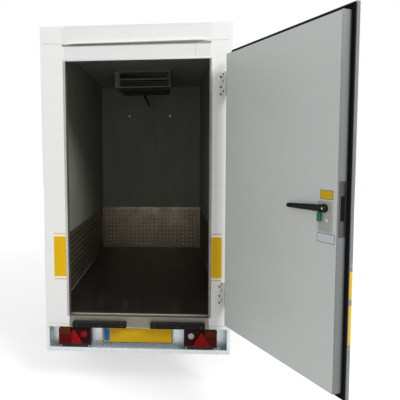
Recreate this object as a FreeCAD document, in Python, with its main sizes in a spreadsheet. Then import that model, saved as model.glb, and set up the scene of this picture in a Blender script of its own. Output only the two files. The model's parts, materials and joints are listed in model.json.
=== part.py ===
"""Refrigerated box trailer: a single-axle insulated box with one rear door, on a V drawbar.

Frame: millimetres, +X right, +Y towards the towing coupling, +Z up. The origin is the centre of
the towing ball in its socket. Across the trailer x is measured from the centre line, along it from
the rear face of the box, and up from the load floor; REAR and FLOOR are those two planes.
"""
import FreeCAD, Part
import math
import operator
import os
import Sketcher
from FreeCAD import Placement, Rotation, Vector

doc = FreeCAD.newDocument("RefrigeratedTrailer")

# ---------------------------------------------------------------- driving dimensions (mm, degrees)
SIZES = [
    # alias, value, meaning
    ("floor_height", 600, "load floor above the ground"),
    ("ball_height", 430, "ball centre above the ground"),
    ("drawbar_reach", 1160, "ball centre ahead of the box"),
    ("body_width", 1370, "box, outside width"),
    ("body_length", 2620, "box, outside length"),
    ("inner_height", 2035, "load floor to ceiling"),
    ("wall", 60, "sandwich panel thickness"),
    ("roof_thick", 68, "roof panel with its cap"),
    ("floor_build", 98, "load floor to underside of box"),
    ("deck_thick", 15, "load floor board"),
    ("edge_round", 22, "outer radius of the corner profiles"),
    ("post_left", 178, "rear post on the left of the door opening"),
    ("post_right", 156, "rear post on the right of the door opening"),
    ("lintel_drop", 178, "top of the door opening below the ceiling"),
    ("ledge_depth", 52, "door ledge, from the rear face to the floor board"),
    ("gutter_reach", 22, "rain gutter, out from the rear face"),
    ("gutter_height", 22, "rain gutter, height"),
    ("gutter_wall", 3, "rain gutter, wall of its channel"),
    ("gutter_drop", 131, "rain gutter's underside below the top of the box"),
    ("sheet_thick", 3, "galvanised and tread plate sheet"),
    ("kick_height", 520, "tread plate lining height"),
    ("hinge_inset", 49, "door hinge axis inside the right side of the box"),
    ("hinge_out", 21, "door hinge axis behind the rear face"),
    ("door_rest", 114.65, "door opened from shut, as it stands"),
    ("seal_gap", 5, "shut door's seal to rear frame"),
    ("seal_thick", 8, "door seal"),
    ("seal_inset", 2, "door seal inside the leaf's edge"),
    ("leaf_thick", 20, "door outer leaf"),
    ("flange_lap", 18, "door leaf beyond the opening, each side"),
    ("flange_top_lap", 29, "door leaf above the opening"),
    ("flange_foot_lap", 29, "door leaf below the ledge"),
    ("block_thick", 49, "door insulation ahead of the seal face"),
    ("block_gap", 9, "door insulation to the opening's sides"),
    ("block_gap_end", 6, "door insulation to the opening's top and ledge"),
    ("lock_height", 917, "lock spindle above load floor"),
    ("spindle_inset", 74, "lock spindle from the insulation's free edge"),
    ("spindle_drop", 4, "inside lever's boss below the middle of the lock"),
    ("spindle_radius", 20, "boss of the inside lever"),
    ("spindle_length", 22, "boss of the inside lever"),
    ("lever_length", 274, "inside lever, spindle to tip"),
    ("lever_height", 30, "inside lever arm"),
    ("lever_sag", 4, "inside lever arm's middle below its boss"),
    ("lever_thick", 18, "inside lever arm"),
    ("escutcheon_inset", 34, "lock plate from the insulation's free edge"),
    ("escutcheon_width", 88, "lock plate"),
    ("escutcheon_height", 153, "lock plate"),
    ("escutcheon_drop", 123, "lock plate's foot below the spindle"),
    ("escutcheon_thick", 8, "lock plate"),
    ("knob_inset", 105, "release knob from the insulation's free edge"),
    ("knob_drop", 49, "release knob below the spindle"),
    ("knob_width", 18, "release knob"),
    ("knob_height", 48, "release knob"),
    ("knob_reach", 15, "release knob out from the lock plate"),
    ("faceplate_width", 40, "lock face on the door's edge"),
    ("faceplate_height", 272, "lock face on the door's edge"),
    ("faceplate_drop", 141, "lock face's foot below the spindle"),
    ("faceplate_thick", 2, "lock face on the door's edge"),
    ("faceplate_back", 7, "lock face behind the insulation's inner face"),
    ("handle_inset", 28, "outside handle's plate from the insulation's free edge"),
    ("handle_width", 60, "outside handle's plate"),
    ("handle_height", 200, "outside handle's plate"),
    ("handle_drop", 117, "outside handle's plate, foot below the spindle"),
    ("handle_plate", 12, "outside handle's plate thickness"),
    ("grip_length", 162, "outside handle's grip"),
    ("grip_height", 30, "outside handle's grip"),
    ("grip_thick", 14, "outside handle's grip"),
    ("grip_stand", 44, "outside handle's grip out from the leaf"),
    ("knuckle_radius", 13, "hinge barrel"),
    ("pin_radius", 6, "hinge pin"),
    ("hinge_height", 168, "hinge, overall height"),
    ("hinge_low", 90, "lower hinge above load floor"),
    ("hinge_top", 98, "upper hinge's top below the top of the opening"),
    ("hinge_strap", 90, "door half of the hinge, on the leaf"),
    ("hinge_leaf", 46, "frame half of the hinge, inward from the axis"),
    ("hinge_slack", 1, "end play between hinge knuckles"),
    ("leaf_plate", 4, "hinge plates"),
    ("lamp_bar_height", 190, "lamp bar"),
    ("lamp_bar_depth", 80, "lamp bar"),
    ("lamp_bar_lip", 32, "lamp bar's turned-up lip"),
    ("lamp_bar_flange", 22, "lamp bar's flanges at both ends"),
    ("lamp_bar_inset", 2, "lamp bar inside the sides of the box"),
    ("lamp_x", 470, "tail lamp centre from centre line"),
    ("lamp_width", 240, "tail lamp"),
    ("lamp_height", 136, "tail lamp"),
    ("lamp_drop", 104, "tail lamp top below load floor"),
    ("lamp_stand", 22, "tail lamp's lens behind the rear face"),
    ("lens_depth", 24, "tail lamp's lens"),
    ("lamp_base_lip", 12, "tail lamp's base below its lens"),
    ("lens_inset", 4, "tail lamp's lens inside its base"),
    ("plate_width", 520, "number plate"),
    ("plate_height", 110, "number plate"),
    ("plate_thick", 2, "number plate"),
    ("plate_rim", 5, "number plate holder beyond the plate"),
    ("holder_thick", 8, "number plate holder"),
    ("plate_drop", 114, "number plate top below load floor"),
    ("plate_recess", 36, "number plate ahead of the rear face"),
    ("buffer_width", 400, "rubber buffer"),
    ("buffer_height", 39, "rubber buffer"),
    ("buffer_reach", 45, "rubber buffer behind the rear face"),
    ("buffer_inset", 89, "rubber buffer from the sill's middle"),
    ("buffer_gap", 5, "shut door's leaf above the rubber buffers"),
    ("side_marker_rear", 620, "rear side marker ahead of the rear face"),
    ("side_marker_front", 270, "front side marker behind the front wall"),
    ("side_marker_length", 100, "side marker"),
    ("side_marker_height", 36, "side marker"),
    ("side_marker_reach", 12, "side marker out from the wall"),
    ("side_marker_drop", 34, "side marker's top below load floor"),
    ("front_marker_width", 70, "front marker"),
    ("front_marker_height", 40, "front marker"),
    ("front_marker_reach", 14, "front marker out from the wall"),
    ("front_marker_rise", 40, "front marker above load floor"),
    ("inlet_inset", 210, "power inlet's middle inside the left side of the box"),
    ("inlet_width", 90, "power inlet"),
    ("inlet_height", 110, "power inlet"),
    ("inlet_reach", 52, "power inlet out from the front wall"),
    ("inlet_rise", 260, "power inlet above load floor"),
    ("rail_x", 420, "chassis rail centre from centre line"),
    ("rail_width", 50, "chassis rail"),
    ("rail_height", 80, "chassis rail"),
    ("member_width", 60, "chassis cross member"),
    ("member_inset", 10, "cross member below the rails' top and above their foot"),
    ("member_rear", 200, "rear cross member ahead of the rear face"),
    ("member_front", 60, "front cross member behind the front wall"),
    ("axle_y", 1180, "wheel axis ahead of the rear face"),
    ("arm_trail", 120, "axle tube ahead of the wheel axis"),
    ("arm_width", 46, "axle arm"),
    ("arm_in", 169, "axle arm inside the sides of the box"),
    ("arm_clamp", 10, "axle arm's clamp beyond the axle tube"),
    ("arm_drop", 6, "axle arm's clamp below the axle tube's top"),
    ("arm_beam", 19, "radius of the axle arm's beam"),
    ("arm_boss", 42, "radius of the axle arm's boss"),
    ("axle_tube", 80, "axle tube, square"),
    ("brake_radius", 86, "brake back plate"),
    ("brake_thick", 20, "brake back plate"),
    ("wheel_in", 85, "wheel centre inside the sides of the box"),
    ("tyre_radius", 228, "tyre"),
    ("tyre_width", 145, "tyre"),
    ("tread_groove", 7, "tyre's grooves, depth and width"),
    ("groove_pitch", 25, "tyre's grooves, one to the next"),
    ("rim_radius", 127, "wheel rim"),
    ("rim_width", 105, "wheel rim"),
    ("rim_wall", 6, "wheel rim, thickness"),
    ("rim_hole_radius", 7, "air hole in the rim"),
    ("rim_hole_circle", 96, "circle of the rim's air holes"),
    ("disc_step", 84, "radius where the wheel's disc bends outwards"),
    ("drum_radius", 78, "brake drum"),
    ("drum_wall", 8, "brake drum, thickness"),
    ("drum_depth", 52, "brake drum, depth"),
    ("hub_radius", 30, "wheel hub at the drum"),
    ("hub_back", 30, "wheel hub, inward from the disc"),
    ("hub_cap", 27, "wheel hub's cap"),
    ("hub_front", 52, "wheel hub's cap, out from the disc"),
    ("stub_radius", 17, "stub axle"),
    ("stub_reach", 40, "stub axle beyond the wheel's middle"),
    ("guard_gap", 18, "tyre to mudguard"),
    ("guard_thick", 4, "mudguard"),
    ("guard_width", 162, "mudguard"),
    ("guard_lip", 20, "mudguard side skirt"),
    ("guard_foot", 10, "mudguard's ends above the wheel axis"),
    ("guard_bracket_width", 100, "mudguard bracket"),
    ("guard_bracket_thick", 8, "mudguard bracket"),
    ("drawbar_rear", 1380, "drawbar's rear end ahead of the rear face"),
    ("drawbar_nose", 490, "drawbar's front end behind the ball"),
    ("drawbar_tip_x", 50, "drawbar's front end from centre line"),
    ("drawbar_width", 50, "drawbar profile"),
    ("drawbar_height", 80, "drawbar profile"),
    ("socket_radius", 25.3, "ball socket"),
    ("socket_above", 25.5, "ball socket, roof above the ball centre"),
    ("head_width", 78, "coupling head"),
    ("head_above", 38, "coupling head above the ball centre"),
    ("head_below", 18, "coupling head below the ball centre"),
    ("head_round", 30, "coupling head's front corners"),
    ("neck_width", 44, "coupling neck"),
    ("neck_height", 52, "coupling neck"),
    ("neck_length", 170, "coupling neck's rear end behind the ball"),
    ("latch_width", 34, "coupling handle"),
    ("latch_length", 125, "coupling handle"),
    ("latch_height", 26, "coupling handle"),
    ("tow_tube_radius", 25, "overrun tube"),
    ("tow_tube_rise", 25, "overrun tube axis above the ball centre"),
    ("housing_front", 400, "overrun housing's front behind the ball"),
    ("housing_length", 300, "overrun housing"),
    ("housing_width", 150, "overrun housing"),
    ("housing_height", 74, "overrun housing"),
    ("gaiter_slack", 0.4, "gaiter's bore to the overrun tube"),
    ("gaiter_neck", 32, "gaiter, radius between its folds"),
    ("gaiter_fold", 43, "gaiter, radius at its folds"),
    ("brake_lever_pivot", 180, "handbrake lever's pivot behind the housing's front"),
    ("brake_lever_rise", 44, "handbrake lever's pivot above the housing's foot"),
    ("brake_lever_boss", 30, "handbrake lever's pivot radius"),
    ("brake_lever_thick", 14, "handbrake lever"),
    ("brake_lever_width", 26, "handbrake lever"),
    ("brake_lever_length", 330, "handbrake lever, pivot to grip"),
    ("brake_grip_length", 110, "handbrake lever's grip"),
    ("brake_grip_radius", 14, "handbrake lever's grip"),
    ("jack_x", 132, "jack axis right of centre line"),
    ("jack_back", 540, "jack axis behind the ball"),
    ("jack_tube_radius", 30, "jack outer tube"),
    ("jack_tube_length", 430, "jack outer tube"),
    ("jack_cap", 29, "jack outer tube's closed top"),
    ("jack_leg_radius", 25, "jack inner tube"),
    ("running_gap", 0.05, "shafts and pins in their bores"),
    ("jack_lift", 120, "jack, leg up from its place"),
    ("jack_spare", 8, "outer tube above the lifted leg's foot"),
    ("leg_overlap", 180, "leg inside the outer tube"),
    ("clamp_height", 50, "jack clamp"),
    ("clamp_rise", 9, "jack clamp above the chassis rails' foot"),
    ("clamp_width", 44, "jack clamp"),
    ("collar_thick", 7, "jack clamp's collar"),
    ("crank_radius", 7, "jack crank"),
    ("crank_reach", 130, "jack crank"),
    ("crank_grip_radius", 12, "jack crank's grip"),
    ("crank_grip_length", 90, "jack crank's grip"),
    ("jack_trail", 30, "jockey wheel behind its swivel"),
    ("jockey_radius", 100, "jockey wheel"),
    ("jockey_width", 60, "jockey wheel"),
    ("fork_gap", 6, "fork to jockey wheel"),
    ("fork_plate", 6, "fork plate"),
    ("fork_lap", 18, "fork cheek beyond the wheel's pin"),
    ("fork_pin_radius", 8, "jockey wheel pin"),
    ("swivel_radius", 12, "fork stem"),
    ("swivel_length", 45, "fork stem inside the leg"),
    ("swivel_gap", 0.3, "fork crown below the leg"),
    ("evaporator_width", 566, "evaporator"),
    ("evaporator_depth", 390, "evaporator"),
    ("evaporator_height", 200, "evaporator with its tray"),
    ("evaporator_y", 1410, "evaporator ahead of the rear face"),
    ("evaporator_x", 33, "evaporator's middle left of centre line"),
    ("evaporator_cap", 52, "evaporator's end cap on the left"),
    ("evaporator_bar", 16, "bars round the evaporator's mouth"),
    ("evaporator_slat", 5, "louvre of the evaporator"),
    ("mouth_depth", 70, "evaporator's mouth and louvre gaps"),
    ("tray_height", 30, "drip tray"),
    ("tray_inset", 8, "drip tray inside the casing"),
    ("hose_radius", 10, "drain hose"),
    ("hose_stub", 20, "drain hose, straight end"),
    ("hose_left", 40, "drain hose at the tray, left of centre line"),
    ("hose_shift", 15, "drain hose's end right of its start"),
    ("hose_fall", 42, "drain hose's fall to the wall"),
    ("pipe_radius", 12, "cooling pipe in its foam"),
    ("pipe_drop", 60, "cooling pipes below the ceiling"),
    ("pipe_pitch", 42, "cooling pipes, one to the next"),
    ("condenser_width", 720, "condensing unit"),
    ("condenser_depth", 300, "condensing unit"),
    ("condenser_height", 500, "condensing unit"),
    ("condenser_drop", 355, "condensing unit's top below the top of the box"),
    ("condenser_x", 12, "condensing unit's middle left of centre line"),
    ("condenser_round", 20, "condensing unit's front edges"),
    ("bracket_thick", 30, "condensing unit's wall rails"),
    ("bracket_width", 40, "condensing unit's wall rails"),
    ("bracket_lap", 40, "wall rails above and below the unit"),
    ("bracket_x", 255, "wall rail from the unit's middle"),
    ("fan_x", 155, "fan's axis left of the unit's middle"),
    ("fan_mouth", 165, "fan opening"),
    ("fan_recess", 90, "fan opening, depth"),
    ("fan_radius", 150, "fan"),
    ("fan_blade", 45, "fan blade, width"),
    ("fan_blade_thick", 3, "fan blade"),
    ("fan_pitch", 28, "fan blade's slope in degrees"),
    ("fan_hub_radius", 34, "fan hub"),
    ("fan_hub_length", 30, "fan hub"),
    ("fan_motor_radius", 28, "fan motor's nose"),
    ("fan_motor_length", 30, "fan motor's nose"),
    ("fan_shaft", 6, "fan shaft"),
    ("guard_wire", 2.5, "fan guard's wire"),
    ("guard_pitch", 38, "fan guard's rings, one to the next"),
    ("grille_width", 240, "condensing unit's side grille"),
    ("grille_slot", 22, "grille slot, height"),
    ("grille_pitch", 44, "grille slots, one to the next"),
    ("grille_depth", 14, "grille slot"),
    ("grille_x", 190, "grille's middle right of the unit's middle"),
]

sheet = doc.addObject("Spreadsheet::Sheet", "sizes")
for row, (alias, amount, meaning) in enumerate(SIZES, start=1):
    sheet.set(f"A{row}", meaning)
    sheet.set(f"B{row}", str(amount))
    sheet.setAlias(f"B{row}", alias)
doc.recompute()

OPERATIONS = {"+": operator.add, "-": operator.sub, "*": operator.mul, "/": operator.truediv}


class Size:
    """A length known both as a number and as the sheet formula that gives it."""

    def __init__(self, value, text):
        self.value = float(value)
        self.text = text

    def _join(self, sign, other, swapped=False):
        other = as_size(other)
        left, right = (other, self) if swapped else (self, other)
        return Size(OPERATIONS[sign](left.value, right.value), f"({left.text} {sign} {right.text})")

    def __add__(self, other):
        return self._join("+", other)

    def __sub__(self, other):
        return self._join("-", other)

    def __mul__(self, other):
        return self._join("*", other)

    def __truediv__(self, other):
        return self._join("/", other)

    def __radd__(self, other):
        return self._join("+", other, swapped=True)

    def __rsub__(self, other):
        return self._join("-", other, swapped=True)

    def __rmul__(self, other):
        return self._join("*", other, swapped=True)

    def __neg__(self):
        return Size(-self.value, f"(-{self.text})")

    def __float__(self):
        return self.value


def as_size(amount):
    """A plain number as a Size, and a Size unchanged."""
    return amount if isinstance(amount, Size) else Size(amount, f"({float(amount):.6f})")


class Dimensions:
    """The sheet's cells as Sizes, by alias."""

    def __init__(self, rows):
        for alias, amount, _ in rows:
            setattr(self, alias, Size(amount, f"sizes.{alias}"))


d = Dimensions(SIZES)

# ---------------------------------------------------------------- datum planes and shared places
FRONT = -d.drawbar_reach
REAR = FRONT - d.body_length
FLOOR = d.floor_height - d.ball_height
GROUND = -d.ball_height
HALF = d.body_width / 2
INNER = HALF - d.wall
UNDER = FLOOR - d.floor_build
CEILING = FLOOR + d.inner_height
TOP = CEILING + d.roof_thick
LEDGE = FLOOR - d.deck_thick
LINTEL = CEILING - d.lintel_drop
OPEN_LEFT = -HALF + d.post_left
OPEN_RIGHT = HALF - d.post_right
RAIL_FOOT = UNDER - d.rail_height
AXLE_Y = REAR + d.axle_y
AXLE_Z = GROUND + d.tyre_radius
WHEEL_X = HALF - d.wheel_in
SILL_MIDDLE = (OPEN_RIGHT + OPEN_LEFT) / 2
REST_TURN = Rotation(Vector(0, 0, 1), float(d.door_rest))
POKE = 1  # how far a cutting tool stands out of what it cuts

ALONG_X = Rotation(Vector(0, 1, 0), 90)
ALONG_Y = Rotation(Vector(1, 0, 0), -90)
X_TO_Y = Rotation(Vector(0, 0, 1), 90)
UPRIGHT = Rotation()
SIDES = ((-1, "left"), (1, "right"))


class Fixed:
    """The trailer's own frame."""

    turn = UPRIGHT

    @staticmethod
    def point(x, y, z):
        """The same point, as Sizes."""
        return as_size(x), as_size(y), as_size(z)


class Door:
    """The door's frame: places are given for the shut door and turned open about the hinge axis."""

    turn = REST_TURN
    axis_x = HALF - d.hinge_inset
    axis_y = REAR - d.hinge_out
    cosine = Size(math.cos(math.radians(float(d.door_rest))), "cos(sizes.door_rest * 1 deg)")
    sine = Size(math.sin(math.radians(float(d.door_rest))), "sin(sizes.door_rest * 1 deg)")

    @classmethod
    def point(cls, x, y, z):
        """Where a point of the shut door lies now."""
        out_x = x - cls.axis_x
        out_y = y - cls.axis_y
        turned_x = cls.axis_x + cls.cosine * out_x - cls.sine * out_y
        turned_y = cls.axis_y + cls.sine * out_x + cls.cosine * out_y
        return turned_x, turned_y, as_size(z)


parts = {}


def keep(name, item):
    """Names a finished sub-part, so that it is checked and written out."""
    item.Label = name
    parts[name] = item
    return item


def bind(item, **amounts):
    """Ties properties of an item to the sheet."""
    for prop, amount in amounts.items():
        item.setExpression(prop, as_size(amount).text)


def place(item, at, turn=UPRIGHT, frame=Fixed):
    """Puts an item's own origin at a point of a frame, turned about it."""
    point = frame.point(*at)
    base = Vector(*[float(amount) for amount in point])
    item.Placement = Placement(base, frame.turn.multiply(turn))
    for axis, amount in zip("xyz", point):
        item.setExpression(f"Placement.Base.{axis}", amount.text)
    return item


def box(name, x, y, z, frame=Fixed):
    """A block; x, y and z are each a low and a high place."""
    item = doc.addObject("Part::Box", name)
    (x0, x1), (y0, y1), (z0, z1) = [(as_size(low), as_size(high)) for low, high in (x, y, z)]
    bind(item, Length=x1 - x0, Width=y1 - y0, Height=z1 - z0)
    return place(item, (x0, y0, z0), frame=frame)


def rod(name, radius, length, at, turn=UPRIGHT, frame=Fixed, angle=360):
    """A cylinder, or a wedge of one, whose first end's centre is at a point."""
    item = doc.addObject("Part::Cylinder", name)
    bind(item, Radius=radius, Height=length)
    item.Angle = angle
    return place(item, at, turn, frame)


def strut(name, radius, start, end):
    """A cylinder between two points."""
    run = Vector(*[float(last) - float(first) for first, last in zip(start, end)])
    return rod(name, radius, run.Length, start, Rotation(Vector(0, 0, 1), run))


def ring(name, radius, wire, at, turn):
    """A hoop of round wire."""
    item = doc.addObject("Part::Torus", name)
    bind(item, Radius1=radius, Radius2=wire)
    return place(item, at, turn)


def cut(name, base, *tools):
    """The base less the tools."""
    item = doc.addObject("Part::Cut", name)
    item.Base = base
    item.Tool = tools[0] if len(tools) == 1 else fuse(name + "_tools", *tools)
    return item


def fuse(name, *items):
    """Items joined into one solid, with no seams left on flat faces."""
    item = doc.addObject("Part::MultiFuse", name)
    item.Shapes = list(items)
    item.Refine = True
    return item


def group(name, *items):
    """Separate solids kept as one sub-part."""
    item = doc.addObject("Part::Compound", name)
    item.Links = list(items)
    return item


def rounded(name, base, radius, chosen):
    """Rounds the edges of the base that the test chooses, by the edge's middle and direction."""
    doc.recompute()
    item = doc.addObject("Part::Fillet", name)
    item.Base = base
    edges = []
    for index, edge in enumerate(base.Shape.Edges, start=1):
        middle = edge.valueAt((edge.FirstParameter + edge.LastParameter) / 2)
        first, last = edge.valueAt(edge.FirstParameter), edge.valueAt(edge.LastParameter)
        if chosen(middle, last - first):
            edges.append((index, float(radius), float(radius)))
    item.Edges = edges
    return item


def around(middle, width):
    """A pair of places, a width apart, about a middle."""
    return as_size(middle) - width / 2, as_size(middle) + width / 2


def mirrored(side, low, high):
    """A pair of places from the centre line, on one side of it."""
    return (side * high, side * low) if side < 0 else (as_size(low), as_size(high))


def turned_profile(name, points, at, turn):
    """A solid of revolution about its own X axis, from corners given as (along, radius)."""
    body = doc.addObject("PartDesign::Body", name)
    plane = next(o for o in body.Origin.OriginFeatures if o.Role == "XY_Plane")
    axis = next(o for o in body.Origin.OriginFeatures if o.Role == "X_Axis")
    sketch = body.newObject("Sketcher::SketchObject", name + "_section")
    sketch.AttachmentSupport = (plane, [""])
    sketch.MapMode = "FlatFace"
    corners = [Vector(float(along), float(out), 0) for along, out in points]
    count = len(corners)
    for index in range(count):
        sketch.addGeometry(Part.LineSegment(corners[index], corners[(index + 1) % count]), False)
    for index in range(count):
        after = (index + 1) % count
        sketch.addConstraint(Sketcher.Constraint("Coincident", index, 2, after, 1))
    for index, (along, out) in enumerate(points):
        for kind, amount in (("DistanceX", as_size(along)), ("DistanceY", as_size(out))):
            number = sketch.addConstraint(Sketcher.Constraint(kind, -1, 1, index, 1, float(amount)))
            sketch.setExpression(f"Constraints[{number}]", amount.text)
    ring = body.newObject("PartDesign::Revolution", name + "_ring")
    ring.Profile = sketch
    ring.ReferenceAxis = (axis, [""])
    ring.Angle = 360
    body.Tip = ring
    return place(body, at, turn)


# ---------------------------------------------------------------- the insulated box
def make_box():
    """Floor, walls and roof as separate panels, with profiles along the outer edges."""
    long_side = (REAR + d.wall, FRONT - d.wall)
    keep("floor_panel", box("floor_panel", (-INNER, INNER), long_side, (UNDER, FLOOR - d.deck_thick)))
    deck_z = (FLOOR - d.deck_thick, FLOOR)
    keep("floor_deck", fuse(
        "floor_deck",
        box("deck_board", (-INNER, INNER), long_side, deck_z),
        box("deck_tongue", (OPEN_LEFT, OPEN_RIGHT), (REAR + d.ledge_depth, REAR + d.wall), deck_z),
    ))
    keep("side_walls", group(
        "side_walls",
        box("left_wall", (-HALF, -INNER), long_side, (UNDER, CEILING)),
        box("right_wall", (INNER, HALF), long_side, (UNDER, CEILING)),
    ))
    front_y = (FRONT - d.wall, FRONT)
    keep("front_wall", box("front_wall", (-INNER, INNER), front_y, (UNDER, CEILING)))
    keep("roof_panel", box("roof_panel", (-INNER, INNER), long_side, (CEILING, TOP)))

    def outer_edge(middle, run):
        on_side = abs(abs(middle.x) - float(HALF)) < 0.1 and abs(middle.z - float(TOP)) < 0.1
        on_front = abs(middle.y - float(FRONT)) < 0.1 and abs(middle.z - float(TOP)) < 0.1
        on_corner = abs(abs(middle.x) - float(HALF)) < 0.1 and abs(middle.y - float(FRONT)) < 0.1
        along = (on_side and abs(run.y) > 1) or (on_front and abs(run.x) > 1)
        return along or (on_corner and abs(run.z) > 1)

    rails = fuse(
        "roof_rail_blocks",
        box("roof_rail_left", (-HALF, -INNER), long_side, (CEILING, TOP)),
        box("roof_rail_right", (INNER, HALF), long_side, (CEILING, TOP)),
        box("roof_rail_front", (-HALF, HALF), front_y, (CEILING, TOP)),
    )
    keep("roof_rails", rounded("roof_rails", rails, d.edge_round, outer_edge))
    posts = []
    for side, word in SIDES:
        post = box(f"front_post_{word}", mirrored(side, INNER, HALF), front_y, (UNDER, CEILING))
        posts.append(rounded(f"front_post_{word}_round", post, d.edge_round, outer_edge))
    keep("front_corner_posts", group("front_corner_posts", *posts))


def make_rear_frame():
    """The door frame: two posts, a header with its rain gutter, and a sill with the door's ledge."""
    depth = (REAR, REAR + d.wall)
    keep("rear_posts", group(
        "rear_posts",
        box("rear_post_left", (-HALF, OPEN_LEFT), depth, (UNDER, TOP)),
        box("rear_post_right", (OPEN_RIGHT, HALF), depth, (UNDER, TOP)),
    ))
    between = (OPEN_LEFT, OPEN_RIGHT)
    keep("rear_header", box("rear_header", between, depth, (LINTEL, TOP)))
    keep("rear_sill", box("rear_sill", between, depth, (UNDER, LEDGE)))
    low = TOP - d.gutter_drop
    ends = (OPEN_LEFT - d.gutter_reach, OPEN_RIGHT + d.gutter_reach / 2)
    bar = box("gutter_bar", ends, (REAR - d.gutter_reach, REAR), (low, low + d.gutter_height))
    channel = box("gutter_channel", (ends[0] - POKE, ends[1] + POKE),
                  (REAR - d.gutter_reach + d.gutter_wall, REAR - d.gutter_wall),
                  (low + d.gutter_wall, low + d.gutter_height + POKE))
    keep("rain_gutter", cut("rain_gutter", bar, channel))


def make_lining():
    """Tread plate along the foot of the front and side walls, as one bent strip."""
    length = (REAR + d.wall, FRONT - d.wall)
    height = (FLOOR, FLOOR + d.kick_height)
    inner = INNER - d.sheet_thick
    keep("tread_plate_lining", fuse(
        "tread_plate_lining",
        box("lining_left", (-INNER, -inner), length, height),
        box("lining_right", (inner, INNER), length, height),
        box("lining_front", (-INNER, INNER), (FRONT - d.wall - d.sheet_thick, FRONT - d.wall), height),
    ))


# ---------------------------------------------------------------- the cooling machine
def make_evaporator():
    """The flat evaporator under the ceiling: casing with mouth and louvres, drip tray, hose and pipes."""
    half = d.evaporator_width / 2
    x = (-d.evaporator_x - half, -d.evaporator_x + half)
    y = (REAR + d.evaporator_y, REAR + d.evaporator_y + d.evaporator_depth)
    foot = CEILING - d.evaporator_height
    casing_foot = foot + d.tray_height
    block = box("evaporator_block", x, y, (casing_foot, CEILING))
    open_x = (x[0] + d.evaporator_cap, x[1] - d.evaporator_bar)
    open_y = (y[0] - POKE, y[0] + d.mouth_depth)
    room = (CEILING - casing_foot - 3 * d.evaporator_bar) / 2
    louvre = (room - 2 * d.evaporator_slat) / 3
    openings = [box("evaporator_mouth", open_x, open_y,
                    (CEILING - d.evaporator_bar - room, CEILING - d.evaporator_bar))]
    for step in range(3):
        low = casing_foot + d.evaporator_bar + step * (louvre + d.evaporator_slat)
        openings.append(box(f"evaporator_louvre_{step + 1}", open_x, open_y, (low, low + louvre)))
    keep("evaporator_casing", cut("evaporator_casing", block, *openings))
    tray_y = (y[0] + d.tray_inset, y[1] - d.tray_inset)
    keep("evaporator_tray", box("evaporator_tray", (x[0] + d.evaporator_cap, x[1] - d.tray_inset), tray_y,
                                (foot, casing_foot)))
    wall_y = FRONT - d.wall
    hose_z = foot + d.tray_height / 2
    start = (-d.hose_left, tray_y[1] + d.hose_stub, hose_z)
    end = (-d.hose_left + d.hose_shift, wall_y - d.hose_stub, hose_z - d.hose_fall)
    hose = fuse(
        "drain_hose",
        rod("hose_start", d.hose_radius, d.hose_stub, (start[0], tray_y[1], start[2]), ALONG_Y),
        strut("hose_run", d.hose_radius, start, end),
        rod("hose_end", d.hose_radius, d.hose_stub, end, ALONG_Y),
    )
    pipes = [rod(f"cooling_pipe_{number}", d.pipe_radius, wall_y - y[1],
                 (x[1] - number * d.pipe_pitch, y[1], CEILING - d.pipe_drop), ALONG_Y) for number in (1, 2)]
    keep("evaporator_pipes", group("evaporator_pipes", hose, *pipes))


def make_condensing_unit():
    """The condensing unit outside the front wall, on two upright rails, with its fan behind a guard."""
    half = d.condenser_width / 2
    middle_x = -d.condenser_x
    x = (middle_x - half, middle_x + half)
    z = (TOP - d.condenser_drop - d.condenser_height, TOP - d.condenser_drop)
    y = (FRONT + d.bracket_thick, FRONT + d.bracket_thick + d.condenser_depth)
    rails = []
    for side, word in SIDES:
        rail_x = middle_x + side * d.bracket_x
        rails.append(box(f"wall_rail_{word}", around(rail_x, d.bracket_width), (FRONT, y[0]),
                         (z[0] - d.bracket_lap, z[1] + d.bracket_lap)))
    keep("condenser_wall_rails", group("condenser_wall_rails", *rails))

    def front_edge(middle, run):
        return abs(middle.y - float(y[1])) < 0.1

    cover = rounded("condenser_cover", box("condenser_block", x, y, z), d.condenser_round, front_edge)
    fan_x = middle_x - d.fan_x
    fan_z = (z[0] + z[1]) / 2
    back = y[1] - d.fan_recess
    mouth = rod("fan_mouth", d.fan_mouth, d.fan_recess + POKE, (fan_x, back, fan_z), ALONG_Y)
    slots = []
    slot_x = middle_x + d.grille_x
    for step in range(-4, 5):
        slot_z = fan_z + step * d.grille_pitch
        slots.append(box(f"grille_slot_{step + 5}", around(slot_x, d.grille_width),
                         (y[1] - d.grille_depth, y[1] + POKE), around(slot_z, d.grille_slot)))
    opened = cut("condenser_opened", cover, mouth, *slots)
    motor = rod("fan_motor", d.fan_motor_radius, d.fan_motor_length + POKE,
                (fan_x, back - POKE, fan_z), ALONG_Y)
    shaft_foot = back + d.fan_motor_length - POKE
    shaft = rod("fan_shaft", d.fan_shaft, d.fan_hub_length + d.swivel_gap + POKE,
                (fan_x, shaft_foot, fan_z), ALONG_Y)
    keep("condenser_housing", fuse("condenser_housing", opened, motor, shaft))
    make_fan(fan_x, back + d.fan_motor_length + d.swivel_gap, fan_z)
    make_fan_guard(fan_x, y[1], fan_z)


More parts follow.
